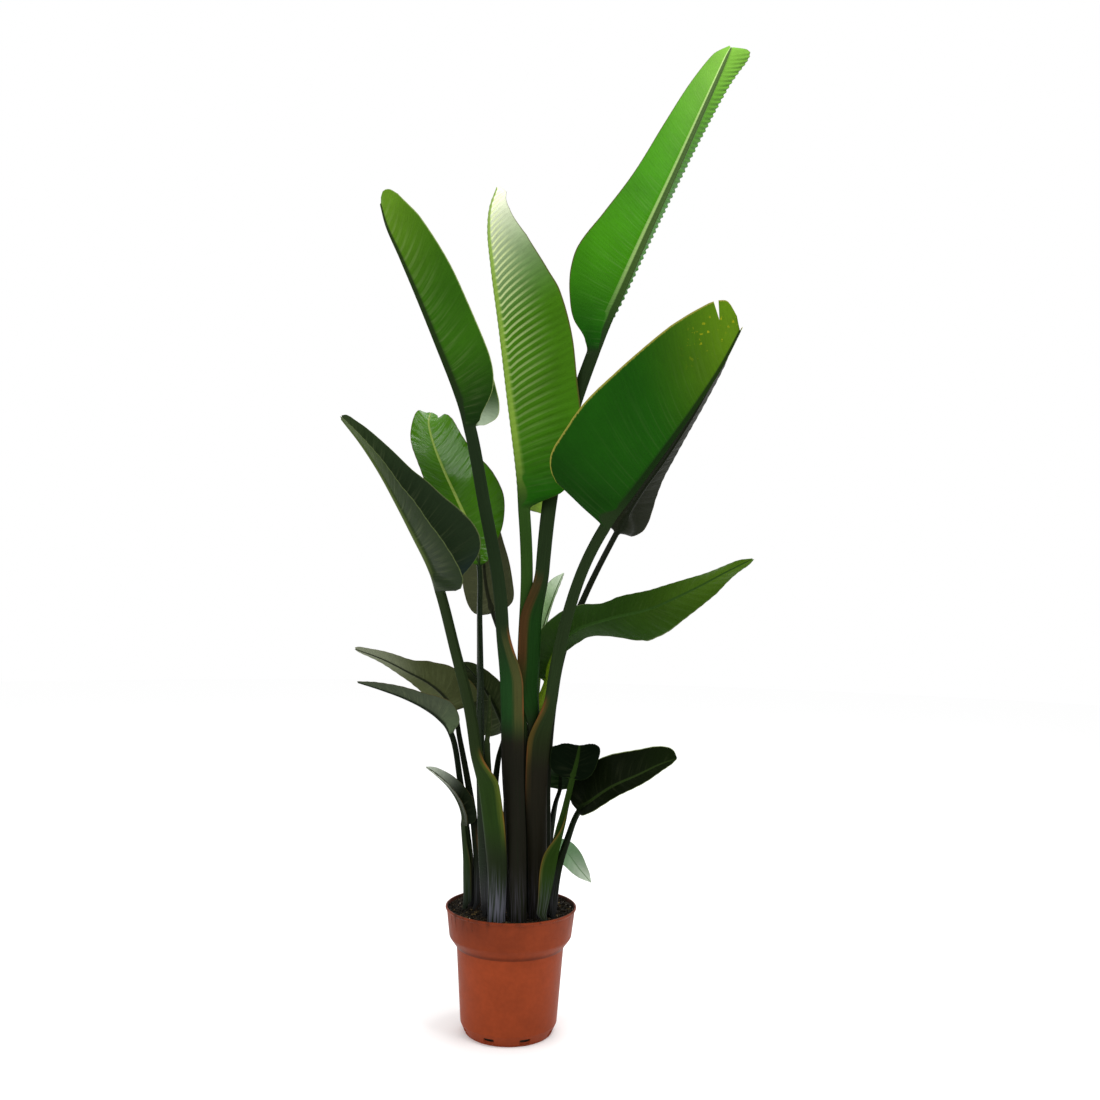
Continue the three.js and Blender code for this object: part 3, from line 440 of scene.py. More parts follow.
# %% Pot piece
def cut_by(target, cutter):
    """Takes one mesh away from another, and leaves the result as a plain mesh."""
    boolean = target.modifiers.new("slots", "BOOLEAN")
    boolean.operation = "DIFFERENCE"
    boolean.object = cutter
    boolean.solver = "EXACT"
    seen = target.evaluated_get(bpy.context.evaluated_depsgraph_get())
    result = bpy.data.meshes.new_from_object(seen)
    target.modifiers.clear()
    target.data = result
    bpy.data.objects.remove(cutter)


pot_skin = spun(pot_outside + pot_inside, POT_STEPS, POT_ROUNDING)
pot = piece(pot_skin, "nursery_pot", pot_finish(), "pot", "pot")
cut_by(pot, slot_cutters())
pot.modifiers.new("even_sheen", "WEIGHTED_NORMAL").keep_sharp = True
print("pot faces:", len(pot.data.polygons))

# %% [markdown]
# Soil
#
# Potting soil is a bed of dark crumbs, with fibres of bark and white grains of perlite. The bed
# is a spun body whose top is pushed up and down by noise. Loose crumbs are low balls squashed
# at random, a few faces each, because there are many. The random numbers have a fixed seed.

# %% Soil finish
def soil_finish(name, dark, light, fineness):
    new = Finish(name)
    where = new.place()
    lumps = new.cloud(where, fineness)
    colour = new.blend(lumps.rise(0.35, 0.75), dark, light)
    fine = new.cloud(where, fineness * 4)
    rough = lumps * 0.2 + 0.78
    return new.finish(colour, rough, lumps + fine * 0.5, depth=1.2 * MM, shine=0.15)


EARTH = soil_finish("potting_soil", paint(15, 13, 9), paint(48, 40, 26), fineness=260.0)
BARK = soil_finish("bark_bits", paint(60, 46, 26), paint(122, 104, 62), fineness=300.0)
PERLITE = soil_finish("perlite", paint(150, 142, 122), paint(214, 206, 188), fineness=400.0)

# %% Soil sizes
CLEARANCE = 0.4
SOIL_MOUND = 4
EDGE_RISE = 7.5
COLLAR = SOIL_TOP + SOIL_MOUND + 3
SOIL_RINGS = 34
SOIL_STEPS = 180
BROAD_LUMP = 26
BROAD_RISE = 2.2
FINE_LUMP = 7
FINE_RISE = 1.6
SOIL_CORNER = 2


# %% Soil bed
def bed_level(outward):
    """The bed without its lumps: nearly flat, and a little higher at the wall than in the middle."""
    return SOIL_MOUND * max(0.0, 1 - outward ** 2) + EDGE_RISE * outward ** 2


def soil_height(x, y):
    """Height of the bed's top in millimetres."""
    level = bed_level(math.hypot(x, y) / RIM_RADIUS)
    broad = noise.noise(Vector((x, y, 0)) / BROAD_LUMP) * BROAD_RISE
    fine = noise.noise(Vector((x, y, FINE_LUMP)) / FINE_LUMP) * FINE_RISE
    return SOIL_TOP + level + broad + fine


up_the_band = (SOIL_TOP - BAND_BOTTOM) / (POT_HEIGHT - BAND_BOTTOM)
inset = WALL + CLEARANCE
soil_radius = BAND_RADIUS + (RIM_RADIUS - BAND_RADIUS) * up_the_band - inset
soil_profile = [
    (0, BASE_THICKNESS + CLEARANCE), (BASE_RADIUS - inset - EDGE, BASE_THICKNESS + CLEARANCE),
    (BEVEL_RADIUS - inset, BEVEL_TOP + SOIL_CORNER),
    (SHOULDER_RADIUS - inset, SHOULDER_BOTTOM + SOIL_CORNER),
    (BAND_RADIUS - inset, BAND_BOTTOM + BAND_CORNER)]
soil_profile += [(soil_radius * (1 - i / SOIL_RINGS), SOIL_TOP) for i in range(SOIL_RINGS + 1)]
bed = spun(soil_profile, SOIL_STEPS)
for vert in bed.verts:
    if vert.co.z > (SOIL_TOP - 1) * MM:
        vert.co.z = soil_height(vert.co.x / MM, vert.co.y / MM) * MM
soil = piece(bed, "soil_bed", EARTH, "soil", "soil")
print("soil faces:", len(soil.data.polygons))

# %% Loose crumbs
SPREAD = (0.02, 0.985)
STRETCH = (0.7, 1.5)
TILT = 0.5
RAISED = 0.3
KNOBBLY = 0.12


def scattered(name, finish, count, sizes, squash, seed):
    """Small lumps lying on the bed, in one mesh."""
    draw = random.Random(seed)
    bm = bmesh.new()
    for _ in range(count):
        radius = soil_radius * math.sqrt(draw.uniform(*SPREAD))
        angle = draw.uniform(0, 2 * math.pi)
        x, y = radius * math.cos(angle), radius * math.sin(angle)
        size = draw.uniform(*sizes)
        flat = draw.uniform(*squash)
        stretch = draw.uniform(*STRETCH)
        turn = Matrix.Rotation(draw.uniform(0, math.pi), 4, "Z")
        turn = turn @ Matrix.Rotation(draw.uniform(-TILT, TILT), 4, "X")
        place = Matrix.Translation((x * MM, y * MM, (soil_height(x, y) + size * flat * RAISED) * MM))
        shape = Matrix.Diagonal((size * stretch * MM, size * MM, size * flat * MM, 1))
        made = bmesh.ops.create_icosphere(bm, subdivisions=1, radius=0.5, matrix=place @ turn @ shape)
        for vert in made["verts"]:
            vert.co += Vector([draw.uniform(-KNOBBLY, KNOBBLY) * size * MM for _ in range(3)])
    return piece(bm, name, finish, "soil")


scattered("soil_crumbs", EARTH, count=1500, sizes=(1.5, 5.5), squash=(0.6, 1.0), seed=3)
scattered("soil_bark_bits", BARK, count=320, sizes=(2.0, 6.5), squash=(0.25, 0.5), seed=5)
scattered("soil_perlite_grains", PERLITE, count=90, sizes=(1.0, 2.4), squash=(0.8, 1.0), seed=8)
print("soil pieces made")

# %% [markdown]
# Shape of a leaf
#
# A leaf is a channel that changes along its length: a round root, a sheath that clasps its
# neighbours, a stalk with a groove, and a blade folded along its midrib. One curve runs from
# root to tip, and a closed section rides on it. So first come the curves: a smooth line
# through given values, and a smooth path through given points.

# %% Smooth values and smooth paths
def mix(a, b, share):
    return a + (b - a) * share


def ease(x, low, high):
    """0 below low, 1 above high, and smooth between."""
    share = min(1.0, max(0.0, (x - low) / (high - low)))
    return share * share * (3 - 2 * share)


def through(keys, x):
    """Smooth curve through [place, value] pairs."""
    last = len(keys) - 1
    if x <= keys[0][0]:
        return keys[0][1]
    if x >= keys[last][0]:
        return keys[last][1]
    i = 0
    while x > keys[i + 1][0]:
        i += 1

    def slope(k):
        before, after = keys[max(k - 1, 0)], keys[min(k + 1, last)]
        return (after[1] - before[1]) / (after[0] - before[0])

    span = keys[i + 1][0] - keys[i][0]
    f = (x - keys[i][0]) / span
    rise = keys[i + 1][1] - keys[i][1]
    m0, m1 = slope(i) * span, slope(i + 1) * span
    return keys[i][1] + f * (m0 + f * (3 * rise - 2 * m0 - m1 + f * (m0 + m1 - 2 * rise)))


class Path:
    """Centripetal Catmull-Rom curve: it passes every point and never loops between two."""

    def __init__(self, points):
        inner = [Vector(p) for p in points]
        self.last = len(inner) - 1
        self.points = [2 * inner[0] - inner[1], *inner, 2 * inner[-1] - inner[-2]]

    def at(self, q):
        """The point at q, where whole numbers are the given points."""
        i = min(int(q), self.last - 1)
        f = q - i
        p0, p1, p2, p3 = self.points[i:i + 4]
        d0, d1, d2 = ((b - a).length ** 0.5 for a, b in ((p0, p1), (p1, p2), (p2, p3)))
        m1 = ((p1 - p0) / d0 - (p2 - p0) / (d0 + d1) + (p2 - p1) / d1) * d1
        m2 = ((p2 - p1) / d1 - (p3 - p1) / (d1 + d2) + (p3 - p2) / d2) * d1
        rise = p2 - p1
        return p1 + f * (m1 + f * (3 * rise - 2 * m1 - m2 + f * (m1 + m2 - 2 * rise)))


# %% [markdown]
# One section of a leaf
#
# Across the leaf a point is named by its share of the half width, from 0 at the midrib to 1 at
# the margin. Each half is raised by a fold angle and may curl further out. The underside gets
# the rod of the midrib, and the blades are pleated along their side ribs. The skin thins from
# the stalk to the margin of the blade, and the rod from the stalk to the tip.

# %% Sizes of the section
STALK_FOLD = 34
UPRIGHT = (4, 4)
STALK_DEPTH = 1.7
STALK_SKIN = 2.4
SHEATH_EDGE = 1.2
SHEATH_BULGE = 2.2
BLADE_MIDDLE = 1.1
BLADE_EDGE = 0.6
TIP_RIB = 1.2
RIB_SHARE = 0.25
RIB_FADE = 0.12
RIB_EDGE = 1.08
RIB_SWEEP = 1.3
RIB_GROOVE = 0.5
ROD_LIMIT = 2.0
BULGE_FADE = 0.7
NECK = 0.06
BASE_GROWTH = 0.03
NOTCH_HALF = 0.014
PLAIN_RIBS = (17.0, 0.35, (1.0, 1.0), False)
RIB_ARCH = (0.86, 0.1)
RIBS_BEGIN = (0.02, 0.12)
RIBS_END = (0.9, 1)
WAVE_START = 0.2
WAVE_SHIFT = 0.35
WAVE_BEGIN = (0, 0.15)
WAVE_END = (0.85, 1)
STRAIGHT = 1e-3
FACE_TURN_START = 0.35
ROOT_SPREAD = math.radians(80)
COLLAR_BLEND = 14
ROOT_BOTTOM = 170.3
TANGENT_STEP = 0.02
NEAR_RIB = (0.0, 0.3, 0.6, 0.85, 1.0, 1.1)
OUTER_COLUMNS = 9
MARGIN_SHARE = 0.985


def shares(first):
    """Places of the columns across half a leaf, crowded where the midrib ends and at the margin."""
    inner = [first * share for share in NEAR_RIB]
    outer = [mix(inner[-1], 1.0, i / OUTER_COLUMNS) for i in range(1, OUTER_COLUMNS)]
    return [*inner, *outer, MARGIN_SHARE, 1.0]


print("columns in half a leaf:", len(shares(RIB_SHARE)))

# %% [markdown]
# What is the same all across a section is worked out once, in a small record: its place, the
# three directions, how far the sheath is still whole, and so on.

# %% Along a leaf
class Station:
    """One place along a leaf."""

    def __init__(self, leaf, path, q, run):
        self.q, self.run = q, run
        self.start = leaf["start"]
        self.place = path.at(q)
        ahead = path.at(min(q + TANGENT_STEP, path.last))
        self.along = (ahead - path.at(max(q - TANGENT_STEP, 0))).normalized()
        self.t = max(0.0, (q - self.start) / (path.last - self.start))
        self.in_blade = q > self.start
        self.set_sides(leaf)
        thick, slim = leaf["stalk_width"]
        self.stalk_half = mix(thick, slim, ease(q, 1, self.start)) / 2
        self.set_sheath(leaf.get("sheath"))
        self.round = 0.0
        if leaf["foot_radius"] and not self.in_blade:
            self.round = 1 - ease(self.place.z, COLLAR, COLLAR + COLLAR_BLEND)
        self.rib_fade = ease(self.t, 0, RIB_FADE) if self.in_blade else 0.0
        self.tip_taper = 1 - self.t if self.in_blade else 1.0

    def set_sides(self, leaf):
        """Sets up, where the upper side looks, and side, across the leaf."""
        root_face, base_face, tip_face = (Vector(v).normalized() for v in leaf["faces"])
        if self.in_blade:
            up = base_face.lerp(tip_face, self.t)
        else:
            turn_start = leaf.get("turn_start", FACE_TURN_START)
            up = root_face.lerp(base_face, ease(self.q, self.start * turn_start, self.start))
        self.up = (up - up.dot(self.along) * self.along).normalized()
        self.side = self.along.cross(self.up)

    def set_sheath(self, sheath):
        """Sets how wide the sheath is here, how it wraps, and how far it is still whole."""
        self.whole, self.clasp, self.wrap, self.lean, self.halves = 0.0, 0.0, 0.0, 0.0, (1, 1)
        if not sheath:
            return
        height = self.place.z
        risen = ease(height, COLLAR, sheath["whole"])
        wraps = [math.radians(wrap) for wrap in sheath["wrap"]]
        self.clasp = mix(sheath["radius"][0] * wraps[0], sheath["radius"][1] * wraps[1], risen)
        self.wrap = mix(*wraps, risen)
        self.lean = mix(*sheath.get("lean", UPRIGHT), risen)
        self.halves = [mix(1, share, risen) for share in sheath.get("halves", (1, 1))]
        if not self.in_blade:
            begun = ease(height, *sheath["begin"]) if "begin" in sheath else 1.0
            self.whole = begun * (1 - ease(height, sheath["whole"], sheath["end"]))


# %% Half a section
def half_values(leaf, here, hand, which):
    """Half width, fold and curl of one half at a station."""
    stalk_fold = mix(STALK_FOLD, leaf["fold"][which][0], ease(here.q, 1, here.start))
    if not here.in_blade:
        half = mix(here.stalk_half, here.clasp * here.halves[which], here.whole)
        curl = here.wrap * here.halves[which] * here.whole
        return half, math.radians(mix(stalk_fold, here.lean, here.whole)), curl
    cut = 1.0
    for side, at, depth in leaf.get("notches", ()):
        if side == hand:
            cut -= depth * max(0.0, 1 - abs(here.t - at) / NOTCH_HALF)
    neck = here.stalk_half * (1 - here.t) * (1 - ease(here.t, 0, NECK))
    grown = ease(here.t, 0, BASE_GROWTH)
    half = neck + leaf["wide"][which] * through(leaf["shape"][which], here.t) * cut * grown
    fold = through(list(zip((0, 0.5, 1), leaf["fold"][which])), here.t)
    curl = through(list(zip((0, 0.5, 1), leaf["curl"][which])), here.t)
    return half, math.radians(fold), math.radians(curl)


def relief_at(leaf, here, which, u):
    """Pleats along the side ribs, and the slow wave of a soft blade."""
    if not here.in_blade:
        return 0.0
    pitch, height, sides, fades_outward = leaf.get("ribs", PLAIN_RIBS)
    outline = math.sin(math.pi * min(1.0, u * RIB_ARCH[0] + RIB_ARCH[1])) if fades_outward else u
    pleat = math.sin(2 * math.pi * here.run / pitch)
    fade = ease(here.t, *RIBS_BEGIN) * (1 - ease(here.t, *RIBS_END))
    relief = pleat * height * sides[which] * outline * fade
    if "wave" in leaf:
        swell, count = leaf["wave"]
        turns = count * here.t + WAVE_START + WAVE_SHIFT * which
        fade = ease(here.t, *WAVE_BEGIN) * (1 - ease(here.t, *WAVE_END))
        relief += swell * math.sin(2 * math.pi * turns) * u * u * fade
    return relief


# %% [markdown]
# The upper skin comes first, bent by its fold and curl and raised by its relief. The under skin
# lies below it by the skin's thickness and the depth of the rod. At the root both turn into one
# circle, and in the blade the outer columns run ahead of the midrib, as the side ribs do.

# %% Skin
def bent(half, fold, curl, u):
    """How far out and how far up a column lies."""
    turn = fold + curl * u
    if abs(curl) > STRAIGHT:
        outward = half * (math.sin(turn) - math.sin(fold)) / curl
        return outward, half * (math.cos(fold) - math.cos(turn)) / curl
    return half * u * math.cos(fold), half * u * math.sin(fold)


def skin_at(here, u):
    """Thickness of the skin between its two faces."""
    if here.in_blade:
        return mix(mix(STALK_SKIN, BLADE_MIDDLE, here.rib_fade), BLADE_EDGE, u)
    return mix(STALK_SKIN, SHEATH_EDGE, u)


# %% Half section
def half_section(leaf, here, hand):
    """Upper and lower columns of one half: (point, share across, under, share of the rod)."""
    which = 0 if hand < 0 else 1
    half, fold, curl = half_values(leaf, here, hand, which)
    rib_half = here.stalk_half * mix(RIB_SHARE, 1, here.tip_taper)
    rib_share = min(RIB_SHARE, rib_half / half)
    first = mix(RIB_SHARE, rib_share, here.rib_fade) if here.in_blade else RIB_SHARE
    bulge_at_base = mix(here.stalk_half * STALK_DEPTH, SHEATH_BULGE, here.whole)
    bulge = mix(bulge_at_base, TIP_RIB, here.t ** BULGE_FADE)
    reach = mix(1, first * RIB_EDGE, here.rib_fade)
    lead = 0.0
    if here.in_blade:
        lead = through(leaf.get("lead", (RIB_LEAD, RIB_LEAD))[which], here.t) * half
    upper, lower = [], []
    for u in shares(first):
        outward, raised = bent(half, fold, curl, u)
        turn = fold + curl * u
        normal_out = -math.sin(turn) * hand if u else 0.0
        normal_up = math.cos(turn) if u else 1.0
        depth = bulge * math.sqrt(max(0.0, 1 - (u / reach) ** 2))
        skin, relief = skin_at(here, u), relief_at(leaf, here, which, u)
        groove = RIB_GROOVE * max(0.0, 1 - (u / first) ** 2) * here.rib_fade
        top = (hand * outward + normal_out * relief, raised + normal_up * relief + bulge / 2)
        bottom = (top[0] - normal_out * skin, top[1] - normal_up * skin - depth)
        angle = u * ROOT_SPREAD
        ring = (hand * leaf["foot_radius"] * math.sin(angle), leaf["foot_radius"] * math.cos(angle))
        middle = here.place + here.along * (lead * u ** leaf.get("sweep", RIB_SWEEP))
        for (a, c), flip, row in ((top, 1, upper), (bottom, -1, lower)):
            a, c = mix(a, ring[0], here.round), mix(c, flip * ring[1], here.round)
            c -= groove if flip > 0 else 0.0
            spot = middle + here.side * a + here.up * c
            row.append((spot, hand * u, 0.0 if flip > 0 else 1.0, min(ROD_LIMIT, u / first)))
    return upper, lower


# %% Whole section
def section(leaf, here):
    """The section's ring, from edge to edge on top and back underneath."""
    left_upper, left_lower = half_section(leaf, here, -1)
    right_upper, right_lower = half_section(leaf, here, 1)
    return left_upper[::-1] + right_upper[1:] + right_lower[:0:-1] + left_lower


# %% [markdown]
# The leaf's mesh
#
# A grid operator makes a flat strip, as long as the leaf has sections and as wide as a section
# has points. Each of its points then moves to its place, the long seam is merged, and the two
# ends are filled. The share across, the way along and the side are stored on the points as
# attributes, so that the material can follow the leaf however it bends.

# %% Leaf mesh
STALK_STEP = 7.0
CURVE_SAMPLES = 40
RIBBED_STEP = 2.4
PLAIN_STEP = 4.0


def spaced(path, low, high, step):
    """Places q from low to high that are evenly far apart along the path, with their distance."""
    count = int((high - low) * CURVE_SAMPLES)
    marks = [mix(low, high, i / count) for i in range(count + 1)]
    runs = [0.0]
    for a, b in zip(marks, marks[1:]):
        runs.append(runs[-1] + (path.at(b) - path.at(a)).length)
    steps = max(2, round(runs[-1] / step))
    found, i = [], 0
    for k in range(steps + 1):
        goal = runs[-1] * k / steps
        while i < count - 1 and runs[i + 1] < goal:
            i += 1
        share = (goal - runs[i]) / (runs[i + 1] - runs[i])
        found.append((mix(marks[i], marks[i + 1], min(1.0, share)), goal))
    return found


def leaf_sections(leaf):
    """Rings from the root to the tip, with each one's way along and distance from the blade's base."""
    x, y = leaf["foot"]
    # An open sheath clasps what stands on its foot, so its midrib starts beside that place.
    keel = 0.0
    if not leaf["foot_radius"]:
        keel = (leaf["sheath"]["radius"][0] + SHEATH_BULGE / 2) * leaf["faces"][0][0]
    ends = [(x - keel, y, ROOT_BOTTOM), (x - keel, y, COLLAR)]
    path = Path(ends + leaf["stalk"] + leaf["blade"])
    leaf["start"] = start = 2 + len(leaf["stalk"])
    below = spaced(path, 0, start, STALK_STEP)
    above = spaced(path, start, path.last, RIBBED_STEP if "ribs" in leaf else PLAIN_STEP)[1:]
    length = below[-1][1]
    stations = [Station(leaf, path, q, run - length) for q, run in below]
    stations += [Station(leaf, path, q, run) for q, run in above]
    return [(section(leaf, s), s.t if s.in_blade else s.run / length, s.run) for s in stations]


def leaf_mesh(leaf):
    """The closed skin of a leaf, with its attributes."""
    rings = leaf_sections(leaf)
    size = len(rings[0][0])
    bm = bmesh.new()
    bmesh.ops.create_grid(bm, x_segments=size, y_segments=len(rings) - 1, size=0.5)
    layers = [bm.verts.layers.float.new(name) for name in ("across", "under", "rod", "along", "run")]
    for vert in bm.verts:
        column = round((vert.co.x + 0.5) * size) % size
        ring, along, run = rings[round((vert.co.y + 0.5) * (len(rings) - 1))]
        point, across, under, rod = ring[column]
        vert.co = point * MM
        for layer, value in zip(layers, (across, under, rod, along, run * MM)):
            vert[layer] = value
    bmesh.ops.remove_doubles(bm, verts=bm.verts, dist=1e-7)
    bmesh.ops.holes_fill(bm, edges=[edge for edge in bm.edges if edge.is_boundary], sides=0)
    if bm.calc_volume(signed=True) < 0:
        bmesh.ops.reverse_faces(bm, faces=bm.faces)
    return bm


# %% [markdown]
# Outlines of the blades
#
# Width of half a blade, as a share of its widest, against the way from base (0) to tip (1).
# The side ribs leave the midrib nearly square at the base and lean forward towards the tip. A
# list that ends in LEAD says how far the margin runs ahead of the midrib, as a share of the
# half width.

# %% Outlines
PADDLE_TIP = [(0.45, 0.86), (0.6, 0.68), (0.75, 0.46), (0.88, 0.25), (1, 0.02)]
PADDLE = [(0, 0.08), (0.03, 0.35), (0.07, 0.72), (0.12, 0.92), (0.2, 1), (0.32, 0.97), *PADDLE_TIP]
LATE = [(0, 0.08), (0.04, 0.2), (0.1, 0.42), (0.16, 0.72), (0.22, 0.96), (0.28, 1), (0.36, 0.95),
        *PADDLE_TIP]
SHOULDERED = [(0, 0.07), (0.03, 0.15), (0.075, 0.52), (0.12, 0.75), (0.17, 0.95), (0.21, 1), (0.29, 0.84),
              (0.4, 0.66), (0.53, 0.54), (0.65, 0.43), (0.8, 0.27), (0.9, 0.15), (1, 0.03)]
HANGING = [(0, 0.05), (0.1, 0.22), (0.2, 0.38), (0.4, 0.52), (0.6, 0.46), (0.75, 0.42), (0.88, 0.5),
           (0.96, 0.4), (1, 0.05)]
EVEN = [(0, 0.08), (0.03, 0.2), (0.08, 0.5), (0.12, 0.76), (0.16, 0.92), (0.21, 1), (0.37, 1),
        (0.48, 0.97), (0.64, 0.82), (0.76, 0.65), (0.87, 0.48), (0.92, 0.37), (0.97, 0.19), (1, 0.05)]
TAPERED_BASE = [(0, 0.08), (0.03, 0.5), (0.07, 0.8), (0.13, 0.93), (0.25, 0.98), (0.33, 1), (0.42, 0.92)]
TAPERED = [*TAPERED_BASE, (0.47, 0.8), (0.57, 0.56), (0.7, 0.34), (0.8, 0.24), (0.88, 0.19),
           (0.94, 0.11), (1, 0.02)]
LONG = [*TAPERED_BASE, (0.47, 0.79), (0.57, 0.56), (0.7, 0.33), (0.85, 0.16), (0.93, 0.09), (1, 0.02)]
CLIPPED = [(0, 0.08), (0.08, 0.12), (0.16, 0.3), (0.24, 0.54), (0.3, 0.6), (0.37, 0.8), (0.43, 1.08),
           (0.49, 0.9), (0.6, 0.6), (0.75, 0.38), (0.88, 0.22), (1, 0.03)]
DIPPED = [(0, 0.08), (0.03, 0.35), (0.08, 0.72), (0.14, 0.95), (0.22, 1), (0.3, 0.88), (0.37, 0.68),
          (0.46, 0.66), (0.6, 0.55), (0.75, 0.38), (0.88, 0.22), (1, 0.02)]
STRAP = [(0, 0.08), (0.03, 0.6), (0.07, 0.95), (0.12, 1), (0.2, 0.8), (0.3, 0.56), (0.45, 0.44),
         (0.6, 0.4), (0.8, 0.3), (1, 0.02)]
BROAD_BASE = [(0, 0.08), (0.02, 0.6), (0.04, 0.84), (0.07, 0.96), (0.13, 1), (0.24, 1), (0.37, 0.9),
              (0.53, 0.74), (0.67, 0.57)]
BROAD = [*BROAD_BASE, (0.8, 0.41), (0.9, 0.3), (0.96, 0.22), (1, 0.09)]
NARROWED = [*BROAD_BASE, (0.8, 0.36), (0.9, 0.18), (0.96, 0.07), (1, 0.02)]
SLIM_TIP = [(0.66, 0.34), (0.85, 0.19), (0.95, 0.12), (1, 0.04)]
LOBED = [(0, 0.08), (0.02, 0.5), (0.04, 0.78), (0.09, 1), (0.24, 0.88), (0.32, 0.73), (0.41, 0.62),
         (0.5, 0.47), *SLIM_TIP]
SLOPED = [(0, 0.08), (0.03, 0.3), (0.07, 0.62), (0.12, 0.9), (0.18, 1), (0.26, 0.9), (0.34, 0.75),
          (0.43, 0.62), (0.52, 0.48), *SLIM_TIP]
LANCE = [(0, 0.1), (0.15, 0.6), (0.35, 1), (0.55, 0.9), (0.75, 0.58), (0.92, 0.2), (1, 0.04)]

# %% Leads of the side ribs
BACK_START = [(0, -0.3), (0.04, -0.25), (0.12, -0.05)]
LEAD_MIDDLE = [(0.2, 0.25), (0.3, 0.45), (0.45, 0.6), (0.6, 0.8)]
SWEPT_TIP = [(0.75, 1.05), (0.88, 1.2), (1, 1.2)]
RIB_LEAD = [*BACK_START, *LEAD_MIDDLE, *SWEPT_TIP]
ROUND_LEAD = [*BACK_START, *LEAD_MIDDLE, (0.75, 1.0), (0.87, 1.0), (0.92, 1.2), (0.97, 1.9), (1, 3)]
RAISED_LEAD = [(0, 0.1), (0.04, 0.12), (0.12, 0.15), *LEAD_MIDDLE, (0.75, 1.0), (0.88, 1.1), (1, 1.1)]
HUNG_LEAD = [(0, -0.4), (0.04, -0.5), (0.12, -0.35), (0.2, 0.05), (0.3, 0.4), (0.45, 0.6), (0.6, 0.8),
             *SWEPT_TIP]
SQUARE_LEAD = [(0, -0.1), (0.04, 0), (0.13, 0.1), (0.24, 0.3), (0.38, 0.5), (0.55, 0.75), (0.7, 1),
               (0.85, 1.2), (1, 1.3)]

# %% [markdown]
# Table of the leaves
#
# foot is where the root stands, and a leaf whose foot_radius is 0 has an open sheath there
# instead of a round root. stalk and blade are points of the midrib, and stalk_width is how wide
# the stalk is at the soil and at the blade. faces says where the upper side looks at the root,
# the blade's base and the tip, and turn_start where along the stalk it starts to turn. shape,
# lead, wide, fold and curl are for the two halves, and fold and curl are angles at the base,
# the middle and the tip.
#
# A sheath has a radius and a wrap, an angle, at the soil and where it stops being whole. lean
# is its fold there, halves the share of each half, begin the heights where a late one opens,
# and whole and end the heights where it closes into the stalk. ribs are their pitch, height,
# strength on the two halves, and whether they fade outwards. sweep says how they bend. A wave
# has a height and a count, and a notch has a side, a place and a depth.

# %% Tall leaves
LEAVES = {}
LEAVES["leaf_top_right"] = dict(
    foot=(46, -56), foot_radius=6, stalk_width=(12, 21),
    stalk=[(45, -66, 330), (40, -80, 466), (38, -83, 560), (40, -76, 660), (44, -56, 790), (68, -12, 1025)],
    blade=[(135, -14, 1250), (180, -6, 1360), (235, 10, 1495), (295, 40, 1640), (345, 70, 1765),
           (383, 100, 1862), (405, 125, 1920)],
    faces=[(-1, 0, 0), (-0.6, 0.76, 0.24), (-0.5, 0.7, 0.4)],
    wide=(98, 110), shape=(HANGING, SHOULDERED), fold=[(30, 26, -40), (42, 42, 30)],
    curl=[(0, 10, 20), (0, 6, 5)], ribs=(12.0, 1.8, (1.0, 0.1), False),
    sheath=dict(radius=(47, 47), wrap=(45, 45), lean=(52, 52), halves=(0.45, 1),
                begin=(545, 640), whole=740, end=840), turn_start=0.75)
LEAVES["leaf_upper_left"] = dict(
    foot=(17, -80), foot_radius=0, stalk_width=(20, 15),
    stalk=[(-4, -83, 350), (-15, -86, 470), (-21, -89, 607), (-31, -95, 790), (-64, -110, 960)],
    blade=[(-90, -130, 1085), (-113, -140, 1150), (-145, -150, 1225), (-180, -158, 1305),
           (-212, -165, 1375), (-238, -170, 1430), (-249, -172, 1467)],
    faces=[(1, 0, 0), (0.87, 0.15, 0.45), (0.8, 0.1, 0.6)],
    wide=(75, 84), shape=(EVEN, PADDLE), lead=(ROUND_LEAD, HUNG_LEAD),
    fold=[(62, 66, 50), (52, 66, 50)], curl=[(10, 0, 0)] * 2,
    sheath=dict(radius=(13, 49), wrap=(160, 45), lean=(4, 52), halves=(1, 0.5), whole=630, end=740))
LEAVES["leaf_centre"] = dict(
    foot=(17, -80), foot_radius=6.5, stalk_width=(11, 16),
    stalk=[(15, -83, 320), (14, -82, 440), (13, -82, 600), (12, -72, 700), (14, -48, 831)],
    blade=[(6, -40, 950), (-4, -30, 1030), (-24, -10, 1160), (-44, 10, 1295), (-64, 25, 1420),
           (-74, 40, 1500), (-72, 46, 1548), (-60, 52, 1590)],
    faces=[(1, 0, 0), (0.85, 0.45, 0.1), (0.85, 0.3, -0.2)],
    wide=(130, 116), shape=(TAPERED, LONG), lead=(RAISED_LEAD, RIB_LEAD), fold=[(56, 55, 45)] * 2,
    curl=[(5, 0, 0)] * 2,
    ribs=(14.0, 1.5, (0.8, 0.8), True), sweep=0.7)
LEAVES["leaf_front_right"] = dict(
    foot=(46, -56), foot_radius=0, stalk_width=(18, 15),
    stalk=[(60, -68, 345), (59, -83, 466), (67, -91, 600), (84, -117, 714), (114, -174, 828)],
    blade=[(150, -230, 905), (190, -280, 960), (233, -335, 1020), (275, -390, 1082), (307, -438, 1136),
           (327, -468, 1179)],
    faces=[(-1, 0, 0), (-0.4, 0.53, 0.74), (-0.4, 0.6, 0.7)],
    wide=(120, 148), shape=(NARROWED, BROAD), lead=(SQUARE_LEAD, SQUARE_LEAD), fold=[(50, 52, 40)] * 2,
    curl=[(12, 8, 0)] * 2, notches=[(1, 0.86, 0.55)],
    sheath=dict(radius=(12.5, 47), wrap=(160, 45), lean=(4, 54), halves=(0.5, 1), whole=525, end=620))
